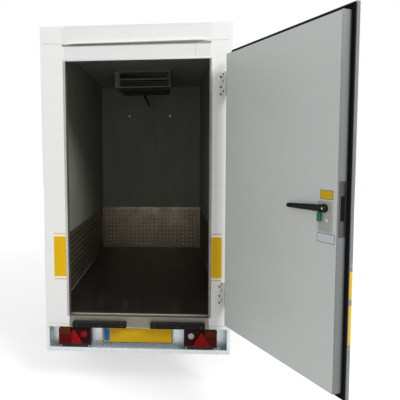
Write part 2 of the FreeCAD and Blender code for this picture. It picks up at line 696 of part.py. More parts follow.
def make_fan(x, y, z):
    """The fan: a hub bored for the shaft and five sloping blades."""
    hub = rod("fan_hub", d.fan_hub_radius, d.fan_hub_length, (x, y, z), ALONG_Y)
    blades = []
    for step in range(5):
        blade = doc.addObject("Part::Box", f"fan_blade_{step + 1}")
        length = d.fan_radius - d.fan_hub_radius / 2
        bind(blade, Length=length, Width=d.fan_blade_thick, Height=d.fan_blade)
        turn = Rotation(Vector(0, 1, 0), 72 * step).multiply(Rotation(Vector(1, 0, 0), -float(d.fan_pitch)))
        shift = turn.multVec(Vector(float(d.fan_hub_radius) / 2, -float(d.fan_blade_thick) / 2,
                                    -float(d.fan_blade) / 2))
        place(blade, (x + shift.x, y + d.fan_hub_length / 2 + shift.y, z + shift.z), turn)
        blades.append(blade)
    bore = rod("fan_bore", d.fan_shaft + d.running_gap, d.fan_hub_length + 2 * POKE,
               (x, y - POKE, z), ALONG_Y)
    keep("condenser_fan", cut("condenser_fan", fuse("fan_blocks", hub, *blades), bore))


def make_fan_guard(x, y, z):
    """Wire rings and four spokes in front of the fan."""
    wire = d.guard_wire
    pieces = [ring(f"guard_ring_{step}", step * d.guard_pitch, wire, (x, y + wire, z), ALONG_Y)
              for step in range(1, 5)]
    reach = d.fan_mouth + d.fan_shaft
    pieces.append(rod("guard_spoke_flat", wire, reach * 2, (x - reach, y + wire, z), ALONG_X))
    pieces.append(rod("guard_spoke_upright", wire, reach * 2, (x, y + wire, z - reach)))
    keep("fan_guard", fuse("fan_guard", *pieces))


# ---------------------------------------------------------------- lamps, plate and buffers at the rear
def make_lamp_bar():
    """A galvanised channel open to the rear, with flanged end plates and a turned-up lip."""
    half = HALF - d.lamp_bar_inset
    foot = UNDER - d.lamp_bar_height
    back = REAR + d.lamp_bar_depth
    skin = d.sheet_thick
    web = back - skin
    keep("lamp_bar", fuse(
        "lamp_bar",
        box("lamp_bar_web", (-half, half), (web, back), (foot, UNDER)),
        box("lamp_bar_top", (-half, half), (REAR, back), (UNDER - skin, UNDER)),
        box("lamp_bar_foot", (-half, half), (REAR, back), (foot, foot + skin)),
        box("lamp_bar_lip", (-half, half), (REAR, REAR + skin), (foot, foot + d.lamp_bar_lip)),
        box("lamp_bar_end_left", (-half, -half + skin), (REAR, back), (foot, UNDER)),
        box("lamp_bar_end_right", (half - skin, half), (REAR, back), (foot, UNDER)),
        box("lamp_bar_flange_left", (-half, -half + d.lamp_bar_flange), (REAR, REAR + skin), (foot, UNDER)),
        box("lamp_bar_flange_right", (half - d.lamp_bar_flange, half), (REAR, REAR + skin), (foot, UNDER)),
    ))
    lamps = []
    face = REAR - d.lamp_stand
    low, high = FLOOR - d.lamp_drop - d.lamp_height, FLOOR - d.lamp_drop
    inset = d.lens_inset
    for side, word in SIDES:
        x0, x1 = side * d.lamp_x - d.lamp_width / 2, side * d.lamp_x + d.lamp_width / 2
        base = box(f"lamp_base_{word}", (x0, x1), (face + d.lens_depth, web), (low - d.lamp_base_lip, high))
        lens = box(f"lamp_lens_{word}", (x0 + inset, x1 - inset), (face, face + d.lens_depth),
                   (low + inset, high - inset))
        lamps.append(fuse(f"tail_lamp_{word}", base, lens))
    keep("tail_lamps", group("tail_lamps", *lamps))
    plate_y = REAR + d.plate_recess
    holder_y = plate_y + d.plate_thick
    z = (FLOOR - d.plate_drop - d.plate_height, FLOOR - d.plate_drop)
    half = d.plate_width / 2
    rim = d.plate_rim
    keep("plate_holder", fuse(
        "plate_holder",
        box("plate_backing", (-half - rim, half + rim), (holder_y, holder_y + d.holder_thick),
            (z[0] - rim, z[1] + rim)),
        box("plate_block", (-half / 2, half / 2), (holder_y + d.holder_thick, web),
            (z[0] + rim * 4, z[1] - rim * 4)),
    ))
    keep("number_plate", box("number_plate", (-half, half), (plate_y, holder_y), z))


def make_buffers():
    """Two rubber buffers across the sill, under the door."""
    top = LEDGE - d.flange_foot_lap - d.buffer_gap
    bars = []
    for side, word in SIDES:
        x0, x1 = mirrored(side, d.buffer_inset, d.buffer_inset + d.buffer_width)
        bars.append(box(f"buffer_{word}", (SILL_MIDDLE + x0, SILL_MIDDLE + x1), (REAR - d.buffer_reach, REAR),
                        (top - d.buffer_height, top)))
    keep("rubber_buffers", group("rubber_buffers", *bars))


def make_marker_lamps():
    """Amber side markers, white front markers and the power inlet on the front wall."""
    lamps = []
    top = FLOOR - d.side_marker_drop
    for side, word in SIDES:
        x = mirrored(side, HALF, HALF + d.side_marker_reach)
        starts = (REAR + d.side_marker_rear, FRONT - d.side_marker_front - d.side_marker_length)
        for place_word, along in zip(("rear", "front"), starts):
            lamps.append(box(f"side_marker_{word}_{place_word}", x, (along, along + d.side_marker_length),
                             (top - d.side_marker_height, top)))
        low = FLOOR + d.front_marker_rise
        lamps.append(box(f"front_marker_{word}", mirrored(side, INNER - d.front_marker_width, INNER),
                         (FRONT, FRONT + d.front_marker_reach), (low, low + d.front_marker_height)))
    keep("marker_lamps", group("marker_lamps", *lamps))
    low = FLOOR + d.inlet_rise
    keep("power_inlet", box("power_inlet", around(-HALF + d.inlet_inset, d.inlet_width),
                            (FRONT, FRONT + d.inlet_reach), (low, low + d.inlet_height)))


# ---------------------------------------------------------------- chassis and drawbar
def make_chassis():
    """Two rails, three cross members and the two arms of the V drawbar below them."""
    rails = []
    for side, word in SIDES:
        x = mirrored(side, d.rail_x - d.rail_width / 2, d.rail_x + d.rail_width / 2)
        rails.append(box(f"chassis_rail_{word}", x, (REAR + d.lamp_bar_depth, FRONT), (RAIL_FOOT, UNDER)))
    keep("chassis_rails", group("chassis_rails", *rails))
    members = []
    between = (-d.rail_x + d.rail_width / 2, d.rail_x - d.rail_width / 2)
    middles = (REAR + d.member_rear, AXLE_Y + d.arm_trail, FRONT - d.member_front)
    for word, middle in zip(("rear", "middle", "front"), middles):
        members.append(box(f"cross_member_{word}", between, around(middle, d.member_width),
                           (RAIL_FOOT + d.member_inset, UNDER - d.member_inset)))
    keep("cross_members", group("cross_members", *members))
    rear = REAR + d.drawbar_rear
    run_y = float(-d.drawbar_nose - rear)
    run_x = float(d.rail_x - d.drawbar_tip_x)
    slant = math.degrees(math.atan2(run_x, run_y))
    arms = []
    for side, word in SIDES:
        bar = doc.addObject("Part::Box", f"drawbar_{word}")
        bind(bar, Width=math.hypot(run_x, run_y), Height=d.drawbar_height, Length=d.drawbar_width)
        turn = Rotation(Vector(0, 0, 1), side * slant)
        shift = turn.multVec(Vector(-float(d.drawbar_width) / 2, 0, 0))
        at = (side * d.rail_x + shift.x, rear + shift.y, RAIL_FOOT - d.drawbar_height)
        arms.append(place(bar, at, turn))
    keep("drawbar_arms", group("drawbar_arms", *arms))


def make_axle():
    """A square axle tube under the rails, with a trailing arm and stub axle at each end."""
    tube_y = AXLE_Y + d.arm_trail
    outer = HALF - d.arm_in
    inner = outer - d.arm_width
    middle = inner + d.arm_width / 2
    keep("axle_tube", box("axle_tube", (-inner, inner), (tube_y - d.axle_tube / 2, tube_y + d.axle_tube / 2),
                          (RAIL_FOOT - d.axle_tube, RAIL_FOOT)))
    arms = []
    for side, word in SIDES:
        clamp = box(f"arm_clamp_{word}", mirrored(side, inner, outer),
                    around(tube_y, d.axle_tube + 2 * d.arm_clamp),
                    (RAIL_FOOT - d.axle_tube - d.arm_clamp, RAIL_FOOT - d.arm_drop))
        beam = strut(f"arm_beam_{word}", d.arm_beam, (side * middle, tube_y, RAIL_FOOT - d.axle_tube / 2),
                     (side * middle, AXLE_Y, AXLE_Z))
        turn = ALONG_X if side > 0 else Rotation(Vector(0, 1, 0), -90)
        boss = rod(f"arm_boss_{word}", d.arm_boss, d.arm_width, (side * inner, AXLE_Y, AXLE_Z), turn)
        at = (side * outer, AXLE_Y, AXLE_Z)
        stub = rod(f"stub_{word}", d.stub_radius, WHEEL_X - outer + d.stub_reach, at, turn)
        plate = rod(f"brake_plate_{word}", d.brake_radius, d.brake_thick, at, turn)
        arms.append(fuse(f"axle_arm_{word}", clamp, beam, boss, stub, plate))
    keep("axle_arms", group("axle_arms", *arms))


def make_wheels():
    """Tyre and rim with its hub and brake drum, one of each at both ends of the axle."""
    half_tyre = d.tyre_width / 2
    half_rim = d.rim_width / 2
    bead = d.rim_radius - 8
    radius = d.tyre_radius
    groove = d.tread_groove
    tread = []
    for step in (1, 0, -1):
        middle = step * d.groove_pitch
        tread += [(middle + groove / 2, radius), (middle + groove / 2, radius - groove),
                  (middle - groove / 2, radius - groove), (middle - groove / 2, radius)]
    foot = half_rim - d.rim_wall
    heel = half_rim + d.rim_wall / 2
    outline = [(foot, bead), (heel, bead + 20), (half_tyre, bead + 55), (half_tyre, radius - 38),
               (half_tyre - 10, radius - 12), (half_tyre - 26, radius)]
    tyre = [*outline, *tread, *[(-along, out) for along, out in reversed(outline)]]
    bore = d.stub_radius + d.running_gap
    half_disc = d.rim_wall / 2
    edge = half_rim - d.rim_wall
    cap_in = d.hub_front - d.drum_wall
    rim = [
        (-edge, bead), (-edge, bead - d.rim_wall), (-half_disc, bead - 2 * d.rim_wall),
        (0, d.disc_step), (-half_disc, d.drum_radius), (-d.drum_depth, d.drum_radius),
        (-d.drum_depth, d.drum_radius - d.drum_wall), (-half_disc, d.drum_radius - d.drum_wall),
        (-half_disc, d.hub_radius), (-d.hub_back, d.hub_radius), (-d.hub_back, bore), (cap_in, bore),
        (cap_in, 0), (d.hub_front, 0), (d.hub_front, d.hub_cap - d.rim_wall), (cap_in, d.hub_cap),
        (2 * half_disc, d.hub_cap), (2 * half_disc, d.drum_radius - d.drum_wall),
        (4 * half_disc, d.drum_radius - half_disc), (4 * half_disc, d.disc_step),
        (half_disc, bead - 2 * d.rim_wall), (edge, bead - d.rim_wall), (edge, bead),
    ]
    for side, word in SIDES:
        turn = UPRIGHT if side > 0 else Rotation(Vector(0, 0, 1), 180)
        at = (side * WHEEL_X, AXLE_Y, AXLE_Z)
        keep(f"road_tyre_{word}", turned_profile(f"road_tyre_{word}", tyre, at, turn))
        disc = turned_profile(f"rim_turned_{word}", rim, at, turn)
        holes = []
        for step in range(12):
            angle = math.radians(30 * step)
            hole_at = (side * WHEEL_X - half_rim, AXLE_Y + d.rim_hole_circle * math.cos(angle),
                       AXLE_Z + d.rim_hole_circle * math.sin(angle))
            holes.append(rod(f"rim_hole_{word}_{step + 1}", d.rim_hole_radius, d.rim_width, hole_at, ALONG_X))
        keep(f"road_rim_{word}", cut(f"road_rim_{word}", disc, *holes))


def make_mudguards():
    """Half-round guards over the wheels, with an outer skirt and brackets to the floor."""
    inner = d.tyre_radius + d.guard_gap
    outer = inner + d.guard_thick
    low = AXLE_Z + d.guard_foot
    guards = []
    for side, word in SIDES:
        x0, x1 = mirrored(side, WHEEL_X - d.guard_width / 2, WHEEL_X + d.guard_width / 2)
        shell = rod(f"guard_outer_{word}", outer, x1 - x0, (x0, AXLE_Y, AXLE_Z), ALONG_X)
        hollow = rod(f"guard_hollow_{word}", inner, x1 - x0 + 2 * POKE, (x0 - POKE, AXLE_Y, AXLE_Z), ALONG_X)
        below_y = (AXLE_Y - outer - POKE, AXLE_Y + outer + POKE)
        below_z = (AXLE_Z - outer - POKE, low)
        below = box(f"guard_below_{word}", (x0 - POKE, x1 + POKE), below_y, below_z)
        arch = cut(f"guard_arch_{word}", shell, hollow, below)
        skirt_x = (x1 - d.guard_thick, x1) if side > 0 else (x0, x0 + d.guard_thick)
        disc = rod(f"guard_skirt_disc_{word}", outer, d.guard_thick, (skirt_x[0], AXLE_Y, AXLE_Z), ALONG_X)
        hole = rod(f"guard_skirt_hole_{word}", inner - d.guard_lip, d.guard_thick + 2 * POKE,
                   (skirt_x[0] - POKE, AXLE_Y, AXLE_Z), ALONG_X)
        skirt_below = box(f"guard_skirt_below_{word}", (skirt_x[0] - POKE, skirt_x[1] + POKE),
                          below_y, below_z)
        skirt = cut(f"guard_skirt_{word}", disc, hole, skirt_below)
        brackets = []
        middle = inner + d.guard_thick / 2
        for number, lean in enumerate((77, 103), start=1):
            y = AXLE_Y + math.cos(math.radians(lean)) * middle
            z = AXLE_Z + math.sin(math.radians(lean)) * middle
            brackets.append(box(f"guard_bracket_{word}_{number}", around(side * WHEEL_X, d.guard_bracket_width),
                                around(y, d.guard_bracket_thick), (z, UNDER)))
        guards.append(fuse(f"mudguard_{word}", arch, skirt, *brackets))
    keep("mudguards", group("mudguards", *guards))


def make_coupling():
    """Ball coupling with its handle, overrun tube in a gaiter, housing, and the handbrake lever."""
    half = d.head_width / 2
    rear = -d.neck_length
    tube_z = d.tow_tube_rise
    neck_top = tube_z + d.neck_height / 2

    def front_corner(middle, run):
        return middle.y > float(half) - 0.1 and abs(run.z) > 1

    cup = box("coupling_cup", (-half, half), (-half, half), (-d.head_below, d.head_above))
    cup = rounded("coupling_cup_round", cup, d.head_round, front_corner)
    neck = box("coupling_neck", around(0, d.neck_width), (rear, -half + POKE),
               (neck_top - d.neck_height, neck_top))
    socket = rod("socket_bore", d.socket_radius, d.head_below + d.socket_above, (0, 0, -d.head_below))
    keep("coupling_head", cut("coupling_head", fuse("coupling_head_blocks", cup, neck), socket))
    latch_y = (-half - d.latch_length, -half)
    latch = box("latch_block", around(0, d.latch_width), latch_y, (neck_top, neck_top + d.latch_height))

    def top_edge(middle, run):
        return abs(middle.z - float(neck_top + d.latch_height)) < 0.1

    keep("coupling_handle", rounded("coupling_handle", latch, d.latch_width / 4, top_edge))
    front = -d.housing_front
    back = front - d.housing_length
    side = -d.housing_width / 2
    block = box("overrun_block", (side, -side), (back, front), (RAIL_FOOT, RAIL_FOOT + d.housing_height))
    tube = rod("overrun_tube", d.tow_tube_radius, rear - front, (0, front, tube_z), ALONG_Y)
    keep("overrun_housing", fuse("overrun_housing", block, tube))
    folds = 7
    run = rear - front
    bore = d.tow_tube_radius + d.gaiter_slack
    outline = [(run, bore), (0, bore)]
    for step in range(folds):
        outline += [(run * step / folds, d.gaiter_neck), (run * (step + 0.5) / folds, d.gaiter_fold)]
    outline.append((run, d.gaiter_neck))
    keep("overrun_gaiter", turned_profile("overrun_gaiter", outline, (0, front, tube_z), X_TO_Y))
    pivot = (side - d.brake_lever_thick, front - d.brake_lever_pivot, RAIL_FOOT + d.brake_lever_rise)
    boss = rod("brake_lever_boss", d.brake_lever_boss, d.brake_lever_thick, pivot, ALONG_X)
    lean = Rotation(Vector(1, 0, 0), 50)
    arm = doc.addObject("Part::Box", "brake_lever_arm")
    bind(arm, Length=d.brake_lever_thick, Width=d.brake_lever_width, Height=d.brake_lever_length)
    shift = lean.multVec(Vector(0, -float(d.brake_lever_width) / 2, 0))
    place(arm, (pivot[0], pivot[1] + shift.y, pivot[2] + shift.z), lean)
    reach = lean.multVec(Vector(0, 0, float(d.brake_lever_length) - float(d.brake_grip_radius)))
    grip = rod("brake_lever_grip", d.brake_grip_radius, d.brake_grip_length,
               (pivot[0] + d.brake_lever_thick / 2, pivot[1] + reach.y, pivot[2] + reach.z), lean)
    keep("handbrake_lever", fuse("handbrake_lever", boss, arm, grip))


def make_jack():
    """The jack clamped beside the drawbar: outer tube, sliding leg, swivelling fork and wheel."""
    x, y = d.jack_x, -d.jack_back
    hub_z = GROUND + d.jockey_radius
    crown_z = hub_z + d.jockey_radius + d.fork_gap
    leg_low = crown_z + d.fork_plate + d.swivel_gap
    foot = leg_low + d.jack_lift + d.jack_spare
    top = foot + d.jack_tube_length
    clamp = (RAIL_FOOT + d.clamp_rise, RAIL_FOOT + d.clamp_rise + d.clamp_height)
    tube = rod("jack_tube", d.jack_tube_radius, d.jack_tube_length, (x, y, foot))
    collar = rod("jack_collar", d.jack_tube_radius + d.collar_thick, d.clamp_height, (x, y, clamp[0]))
    bracket = box("jack_bracket", (d.housing_width / 2, x), around(y, d.clamp_width), clamp)
    hollow = rod("jack_hollow", d.jack_leg_radius + d.running_gap, d.jack_tube_length - d.jack_cap + POKE,
                 (x, y, foot - POKE))
    crank_z = top - d.jack_cap / 2
    crank = rod("jack_crank", d.crank_radius, d.crank_reach, (x, y, crank_z), ALONG_Y)
    grip = rod("jack_grip", d.crank_grip_radius, d.crank_grip_length,
               (x, y + d.crank_reach - d.crank_grip_radius, crank_z - d.crank_radius))
    blocks = fuse("jack_blocks", tube, collar, bracket, crank, grip)
    keep("jack_outer_tube", cut("jack_outer_tube", blocks, hollow))
    leg = rod("jack_leg_tube", d.jack_leg_radius, foot + d.leg_overlap - leg_low, (x, y, leg_low))
    leg_bore = rod("jack_leg_bore", d.swivel_radius + d.running_gap, d.swivel_length + POKE,
                   (x, y, leg_low - POKE))
    keep("jack_leg", cut("jack_leg", leg, leg_bore))
    hub_y = y - d.jack_trail
    half = d.jockey_width / 2 + d.fork_gap
    cheek_x = half + d.fork_plate
    rear = hub_y - d.fork_lap
    fork_y = (rear, y + d.jack_leg_radius)
    crown = box("fork_crown", (x - cheek_x, x + cheek_x), fork_y, (crown_z, crown_z + d.fork_plate))
    cheeks = []
    for side, word in SIDES:
        x0, x1 = mirrored(side, half, cheek_x)
        cheeks.append(box(f"fork_cheek_{word}", (x + x0, x + x1), fork_y,
                          (hub_z - d.fork_lap, crown_z + d.fork_plate)))
    pin = rod("fork_pin", d.fork_pin_radius, cheek_x * 2, (x - cheek_x, hub_y, hub_z), ALONG_X)
    stem = rod("fork_stem", d.swivel_radius, d.fork_plate + d.swivel_length - POKE, (x, y, crown_z))
    keep("jockey_fork", fuse("jockey_fork", crown, pin, stem, *cheeks))
    width = d.jockey_width / 2
    radius = d.jockey_radius
    bore = d.fork_pin_radius + d.running_gap
    section = [
        (-width, bore), (width, bore), (width, 30), (width - 12, 40), (width - 12, 62), (width, 70),
        (width, radius - 10), (width - 12, radius), (-width + 12, radius), (-width, radius - 10),
        (-width, 70), (-width + 12, 62), (-width + 12, 40), (-width, 30),
    ]
    keep("jockey_wheel", turned_profile("jockey_wheel", section, (x, hub_y, hub_z), UPRIGHT))


# ---------------------------------------------------------------- the rear door
def make_door():
    """Outer leaf, insulation block, seal and furniture, modelled shut and turned open."""
    seal_face = REAR - d.seal_gap
    leaf_front = seal_face - d.seal_thick
    leaf_back = leaf_front - d.leaf_thick
    inner_face = seal_face + d.block_thick
    x = (OPEN_LEFT - d.flange_lap, OPEN_RIGHT + d.flange_lap)
    z = (LEDGE - d.flange_foot_lap, LINTEL + d.flange_top_lap)
    block_x = (OPEN_LEFT + d.block_gap, OPEN_RIGHT - d.block_gap)
    block_z = (LEDGE + d.block_gap_end, LINTEL - d.block_gap_end)
    keep("door_leaf", box("door_leaf", x, (leaf_back, leaf_front), z, Door))
    keep("door_block", box("door_block", block_x, (leaf_front, inner_face), block_z, Door))
    inset = d.seal_inset
    seal_outer = box("seal_outer", (x[0] + inset, x[1] - inset), (leaf_front, seal_face),
                     (z[0] + inset, z[1] - inset), Door)
    seal_inner = box("seal_inner", block_x, (leaf_front - POKE, seal_face + POKE), block_z, Door)
    keep("door_seal", cut("door_seal", seal_outer, seal_inner))
    make_lock(block_x[0], inner_face, leaf_back)
    make_hinges(leaf_back, x[1])


def make_lock(edge, inner_face, leaf_back):
    """Lock face on the door's edge, lock plate with its knob, inside lever and outside handle."""
    lock_z = FLOOR + d.lock_height
    face_y = (inner_face - d.faceplate_back - d.faceplate_width, inner_face - d.faceplate_back)
    face_z = (lock_z - d.faceplate_drop, lock_z - d.faceplate_drop + d.faceplate_height)
    keep("lock_faceplate", box("lock_faceplate", (edge - d.faceplate_thick, edge), face_y, face_z, Door))
    plate_x = (edge + d.escutcheon_inset, edge + d.escutcheon_inset + d.escutcheon_width)
    plate_y = inner_face + d.escutcheon_thick
    plate_z = (lock_z - d.escutcheon_drop, lock_z - d.escutcheon_drop + d.escutcheon_height)
    plate = box("escutcheon_plate", plate_x, (inner_face, plate_y), plate_z, Door)
    knob_x, knob_z = edge + d.knob_inset, lock_z - d.knob_drop
    straight = d.knob_height - d.knob_width
    knob = [box("knob_middle", around(knob_x, d.knob_width), (plate_y - POKE, plate_y + d.knob_reach),
                around(knob_z, straight), Door)]
    for word, rise in (("foot", -straight / 2), ("top", straight / 2)):
        knob.append(rod(f"knob_{word}", d.knob_width / 2, d.knob_reach + POKE,
                        (knob_x, plate_y - POKE, knob_z + rise), ALONG_Y, Door))
    keep("escutcheon", fuse("escutcheon", plate, *knob))
    spindle_x, spindle_z = edge + d.spindle_inset, lock_z - d.spindle_drop
    spindle = rod("lever_spindle", d.spindle_radius, d.spindle_length, (spindle_x, plate_y, spindle_z),
                  ALONG_Y, Door)
    arm_y = plate_y + d.spindle_length - d.lever_thick
    arm = box("lever_arm", (spindle_x, spindle_x + d.lever_length), (arm_y, arm_y + d.lever_thick),
              around(spindle_z - d.lever_sag, d.lever_height), Door)
    keep("inside_lever", fuse("inside_lever", spindle, arm))
    out_x = edge + d.handle_inset
    plate_z = (lock_z - d.handle_drop, lock_z - d.handle_drop + d.handle_height)
    grip_y = leaf_back - d.grip_stand
    grip_z = (lock_z - d.grip_height / 2, lock_z + d.grip_height / 2)
    foot_x = (out_x + d.grip_height / 2, out_x + d.grip_height * 3 / 2)
    plate_y = leaf_back - d.handle_plate
    grip_x = (foot_x[0], foot_x[0] + d.grip_length)
    keep("outside_handle", fuse(
        "outside_handle",
        box("outside_plate", (out_x, out_x + d.handle_width), (plate_y, leaf_back), plate_z, Door),
        box("outside_foot", foot_x, (grip_y - POKE, plate_y + POKE), grip_z, Door),
        box("outside_grip", grip_x, (grip_y - d.grip_thick, grip_y), grip_z, Door),
    ))


def make_hinges(leaf_back, leaf_edge):
    """Two hinges: the frame half holds the middle knuckle and the pin, the door half the outer two."""
    axis_x, axis_y = Door.axis_x, Door.axis_y
    third = d.hinge_height / 3
    slack = d.hinge_slack
    radius = d.knuckle_radius
    strap_y = leaf_back - d.leaf_plate
    frame_pieces = []
    door_pieces = []
    for word, low in (("low", FLOOR + d.hinge_low), ("high", LINTEL - d.hinge_top - d.hinge_height)):
        whole = (low, low + d.hinge_height)
        inner = (low + third + slack, low + third * 2 - slack)
        middle = rod(f"frame_knuckle_{word}", radius, third - slack * 2, (axis_x, axis_y, inner[0]))
        web = box(f"frame_web_{word}", (axis_x - radius, axis_x), (axis_y, REAR), inner)
        plate = box(f"frame_plate_{word}", (axis_x - d.hinge_leaf, axis_x), (REAR - d.leaf_plate, REAR),
                    whole)
        pin = rod(f"hinge_pin_{word}", d.pin_radius, d.hinge_height, (axis_x, axis_y, low))
        frame_pieces.append(fuse(f"frame_hinge_{word}", middle, web, plate, pin))
        strap_x = (leaf_edge - d.hinge_strap, axis_x)
        strap = box(f"door_strap_{word}", strap_x, (strap_y, leaf_back), whole, Door)
        barrel = rod(f"door_barrel_{word}", radius, d.hinge_height, (axis_x, axis_y, low), frame=Door)
        gap = box(f"door_gap_{word}", around(axis_x, radius * 6), (strap_y - POKE, REAR + radius * 3),
                  (low + third, low + third * 2), Door)
        bore = rod(f"door_bore_{word}", d.pin_radius + d.running_gap, d.hinge_height + 2 * POKE,
                   (axis_x, axis_y, low - POKE), frame=Door)
        blocks = fuse(f"door_hinge_blocks_{word}", strap, barrel)
        door_pieces.append(cut(f"door_hinge_{word}", blocks, gap, bore))
    keep("frame_hinges", group("frame_hinges", *frame_pieces))
    keep("door_hinges", group("door_hinges", *door_pieces))


make_box()
make_rear_frame()
make_lining()
make_evaporator()
make_condensing_unit()
make_lamp_bar()
make_buffers()
make_marker_lamps()
make_chassis()
make_axle()
make_wheels()
make_mudguards()
make_coupling()
make_jack()
make_door()

doc.recompute()
for item in doc.Objects:
    if "Invalid" in item.State or "Error" in item.State:
        raise RuntimeError(f"{item.Name} failed to recompute: {item.State}")
for name, item in parts.items():
    if item.Shape.isNull() or not item.Shape.isValid():
        raise RuntimeError(f"{name} has no valid shape")

os.makedirs("parts", exist_ok=True)
for name, item in parts.items():
    item.Shape.exportStep(f"parts/{name}.step")
    bounds = item.Shape.BoundBox
    print(f"{name:24s} solids {len(item.Shape.Solids)} volume {item.Shape.Volume / 1e6:10.3f} l "
          f"x {bounds.XMin:8.1f} {bounds.XMax:8.1f} y {bounds.YMin:8.1f} {bounds.YMax:8.1f} "
          f"z {bounds.ZMin:8.1f} {bounds.ZMax:8.1f}")
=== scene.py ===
"""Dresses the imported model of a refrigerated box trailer: surfaces, fittings, floor, light and camera.

Every length is in metres, in the frame of the construction: +X to the trailer's right, +Y towards
the coupling, +Z up, with the origin at the middle of the towing ball.
"""
from __future__ import annotations

import json
import logging
import math
from dataclasses import dataclass
from enum import Enum
from typing import Iterable, Mapping, Sequence

import bmesh
import bpy
import numpy as np
from mathutils import Matrix, Vector


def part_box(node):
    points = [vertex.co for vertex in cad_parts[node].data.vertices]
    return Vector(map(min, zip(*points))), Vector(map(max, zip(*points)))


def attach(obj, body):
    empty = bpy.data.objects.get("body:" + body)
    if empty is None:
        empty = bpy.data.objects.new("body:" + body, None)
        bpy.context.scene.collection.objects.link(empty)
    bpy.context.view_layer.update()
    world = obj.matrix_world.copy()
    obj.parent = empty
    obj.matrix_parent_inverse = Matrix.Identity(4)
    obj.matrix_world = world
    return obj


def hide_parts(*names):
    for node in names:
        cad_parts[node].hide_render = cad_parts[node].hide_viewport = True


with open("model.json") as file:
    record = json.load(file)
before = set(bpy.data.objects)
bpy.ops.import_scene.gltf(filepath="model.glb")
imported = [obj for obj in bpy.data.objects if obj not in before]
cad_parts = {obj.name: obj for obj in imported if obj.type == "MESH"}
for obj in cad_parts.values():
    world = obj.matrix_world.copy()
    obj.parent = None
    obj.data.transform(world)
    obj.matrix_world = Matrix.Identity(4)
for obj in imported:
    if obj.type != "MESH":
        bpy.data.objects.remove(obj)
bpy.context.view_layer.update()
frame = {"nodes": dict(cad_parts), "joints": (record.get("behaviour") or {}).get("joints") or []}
LOG = logging.getLogger("trailer")

Array = np.ndarray
Colour = tuple[float, float, float]
Point = tuple[float, float, float]
Object = bpy.types.Object
Tree = bpy.types.NodeTree
Socket = bpy.types.NodeSocket
Sockets = bpy.types.bpy_prop_collection
Source = Socket | float | Sequence[float]

SMOOTH_ANGLE = math.radians(34)
WELD_REACH = 1e-6
FLAT_ANGLE = math.radians(0.5)
QUARTER = math.pi / 2
NO_CORNER = -1
FILM_EDGE = 0.0002


class Body(Enum):
    """The moving bodies that a piece may ride on."""

    TRAILER = "trailer"
    DOOR = "door"
    WHEEL_LEFT = "wheel_left"
    WHEEL_RIGHT = "wheel_right"
    FAN = "condenser_fan"
    JACK_LEG = "jack_leg"
    JOCKEY_FORK = "jockey_fork"
    JOCKEY_WHEEL = "jockey_wheel"


class Facing(Enum):
    """Where a flat shape's own x, y and z (out of its face) point once it is fitted."""

    REAR = ((1, 0, 0), (0, 0, 1), (0, -1, 0))
    FRONT = ((-1, 0, 0), (0, 0, 1), (0, 1, 0))
    LEFT = ((0, -1, 0), (0, 0, 1), (-1, 0, 0))
    RIGHT = ((0, 1, 0), (0, 0, 1), (1, 0, 0))


# ---------------------------------------------------------------- shapes as arrays
@dataclass
class Shape:
    """A closed skin: points in rows of three, and faces of four corners, the last -1 in a triangle."""

    points: Array
    faces: Array

    def moved(self, x: float = 0.0, y: float = 0.0, z: float = 0.0) -> Shape:
        """The same skin shifted by x, y and z."""
        return Shape(self.points + np.array([x, y, z]), self.faces)

    def fitted(self, facing: Facing, at: Point = (0.0, 0.0, 0.0)) -> Shape:
        """The skin turned to a facing: its own x, y and z run along the facing's three directions.

        Args:
            facing: where the skin's own directions point.
            at: where the skin's own origin comes to lie.

        Returns:
            The turned and shifted skin.
        """
        return Shape(self.points @ np.array(facing.value, float) + np.array(at), self.faces)

    def turned(self, matrix: Array, about: Point = (0.0, 0.0, 0.0)) -> Shape:
        """The skin turned about a point: p' = about + matrix (p - about).

        Args:
            matrix: a rotation of three rows.
            about: the point that stays where it is.

        Returns:
            The turned skin.
        """
        centre = np.array(about)
        return Shape((self.points - centre) @ np.asarray(matrix).T + centre, self.faces)

    def welded(self) -> Shape:
        """The skin with points that coincide made one, and faces that shrink to a line dropped."""
        keys = np.round(self.points / WELD_REACH).astype(np.int64)
        _, first, where = np.unique(keys, axis=0, return_index=True, return_inverse=True)
        where = where.reshape(-1)
        faces = self.faces.copy()
        short = faces[:, 3] == NO_CORNER
        faces[short, 3] = faces[short, 2]
        faces = where[faces]
        same = faces == np.roll(faces, -1, axis=1)
        lost = same.sum(axis=1)
        whole = faces[lost == 0]
        three = faces[lost == 1][~same[lost == 1]].reshape(-1, 3)
        three = np.column_stack([three, np.full(len(three), NO_CORNER)])
        return Shape(self.points[first], np.vstack([whole, three]))

    def outward(self) -> Shape:
        """The skin with its faces turned out: its volume, summed over corner pyramids, is positive."""
        a, b, c = (self.points[self.faces[:, i]] for i in range(3))
        last = self.faces[:, 3]
        d = self.points[np.where(last == NO_CORNER, self.faces[:, 2], last)]
        volume = np.einsum("ij,ij->", a, np.cross(b, c)) + np.einsum("ij,ij->", a, np.cross(c, d))
        if volume >= 0:
            return self
        faces = self.faces[:, [2, 1, 0, 3]]
        four = last != NO_CORNER
        faces[four] = self.faces[four][:, ::-1]
        return Shape(self.points, faces)


def joined(shapes: Iterable[Shape]) -> Shape:
    """One skin made of several, with each one's corners counted on from the last."""
    points, faces, start = [], [], 0
    for shape in shapes:
        points.append(shape.points)
        faces.append(np.where(shape.faces == NO_CORNER, NO_CORNER, shape.faces + start))
        start += len(shape.points)
    return Shape(np.vstack(points), np.vstack(faces))


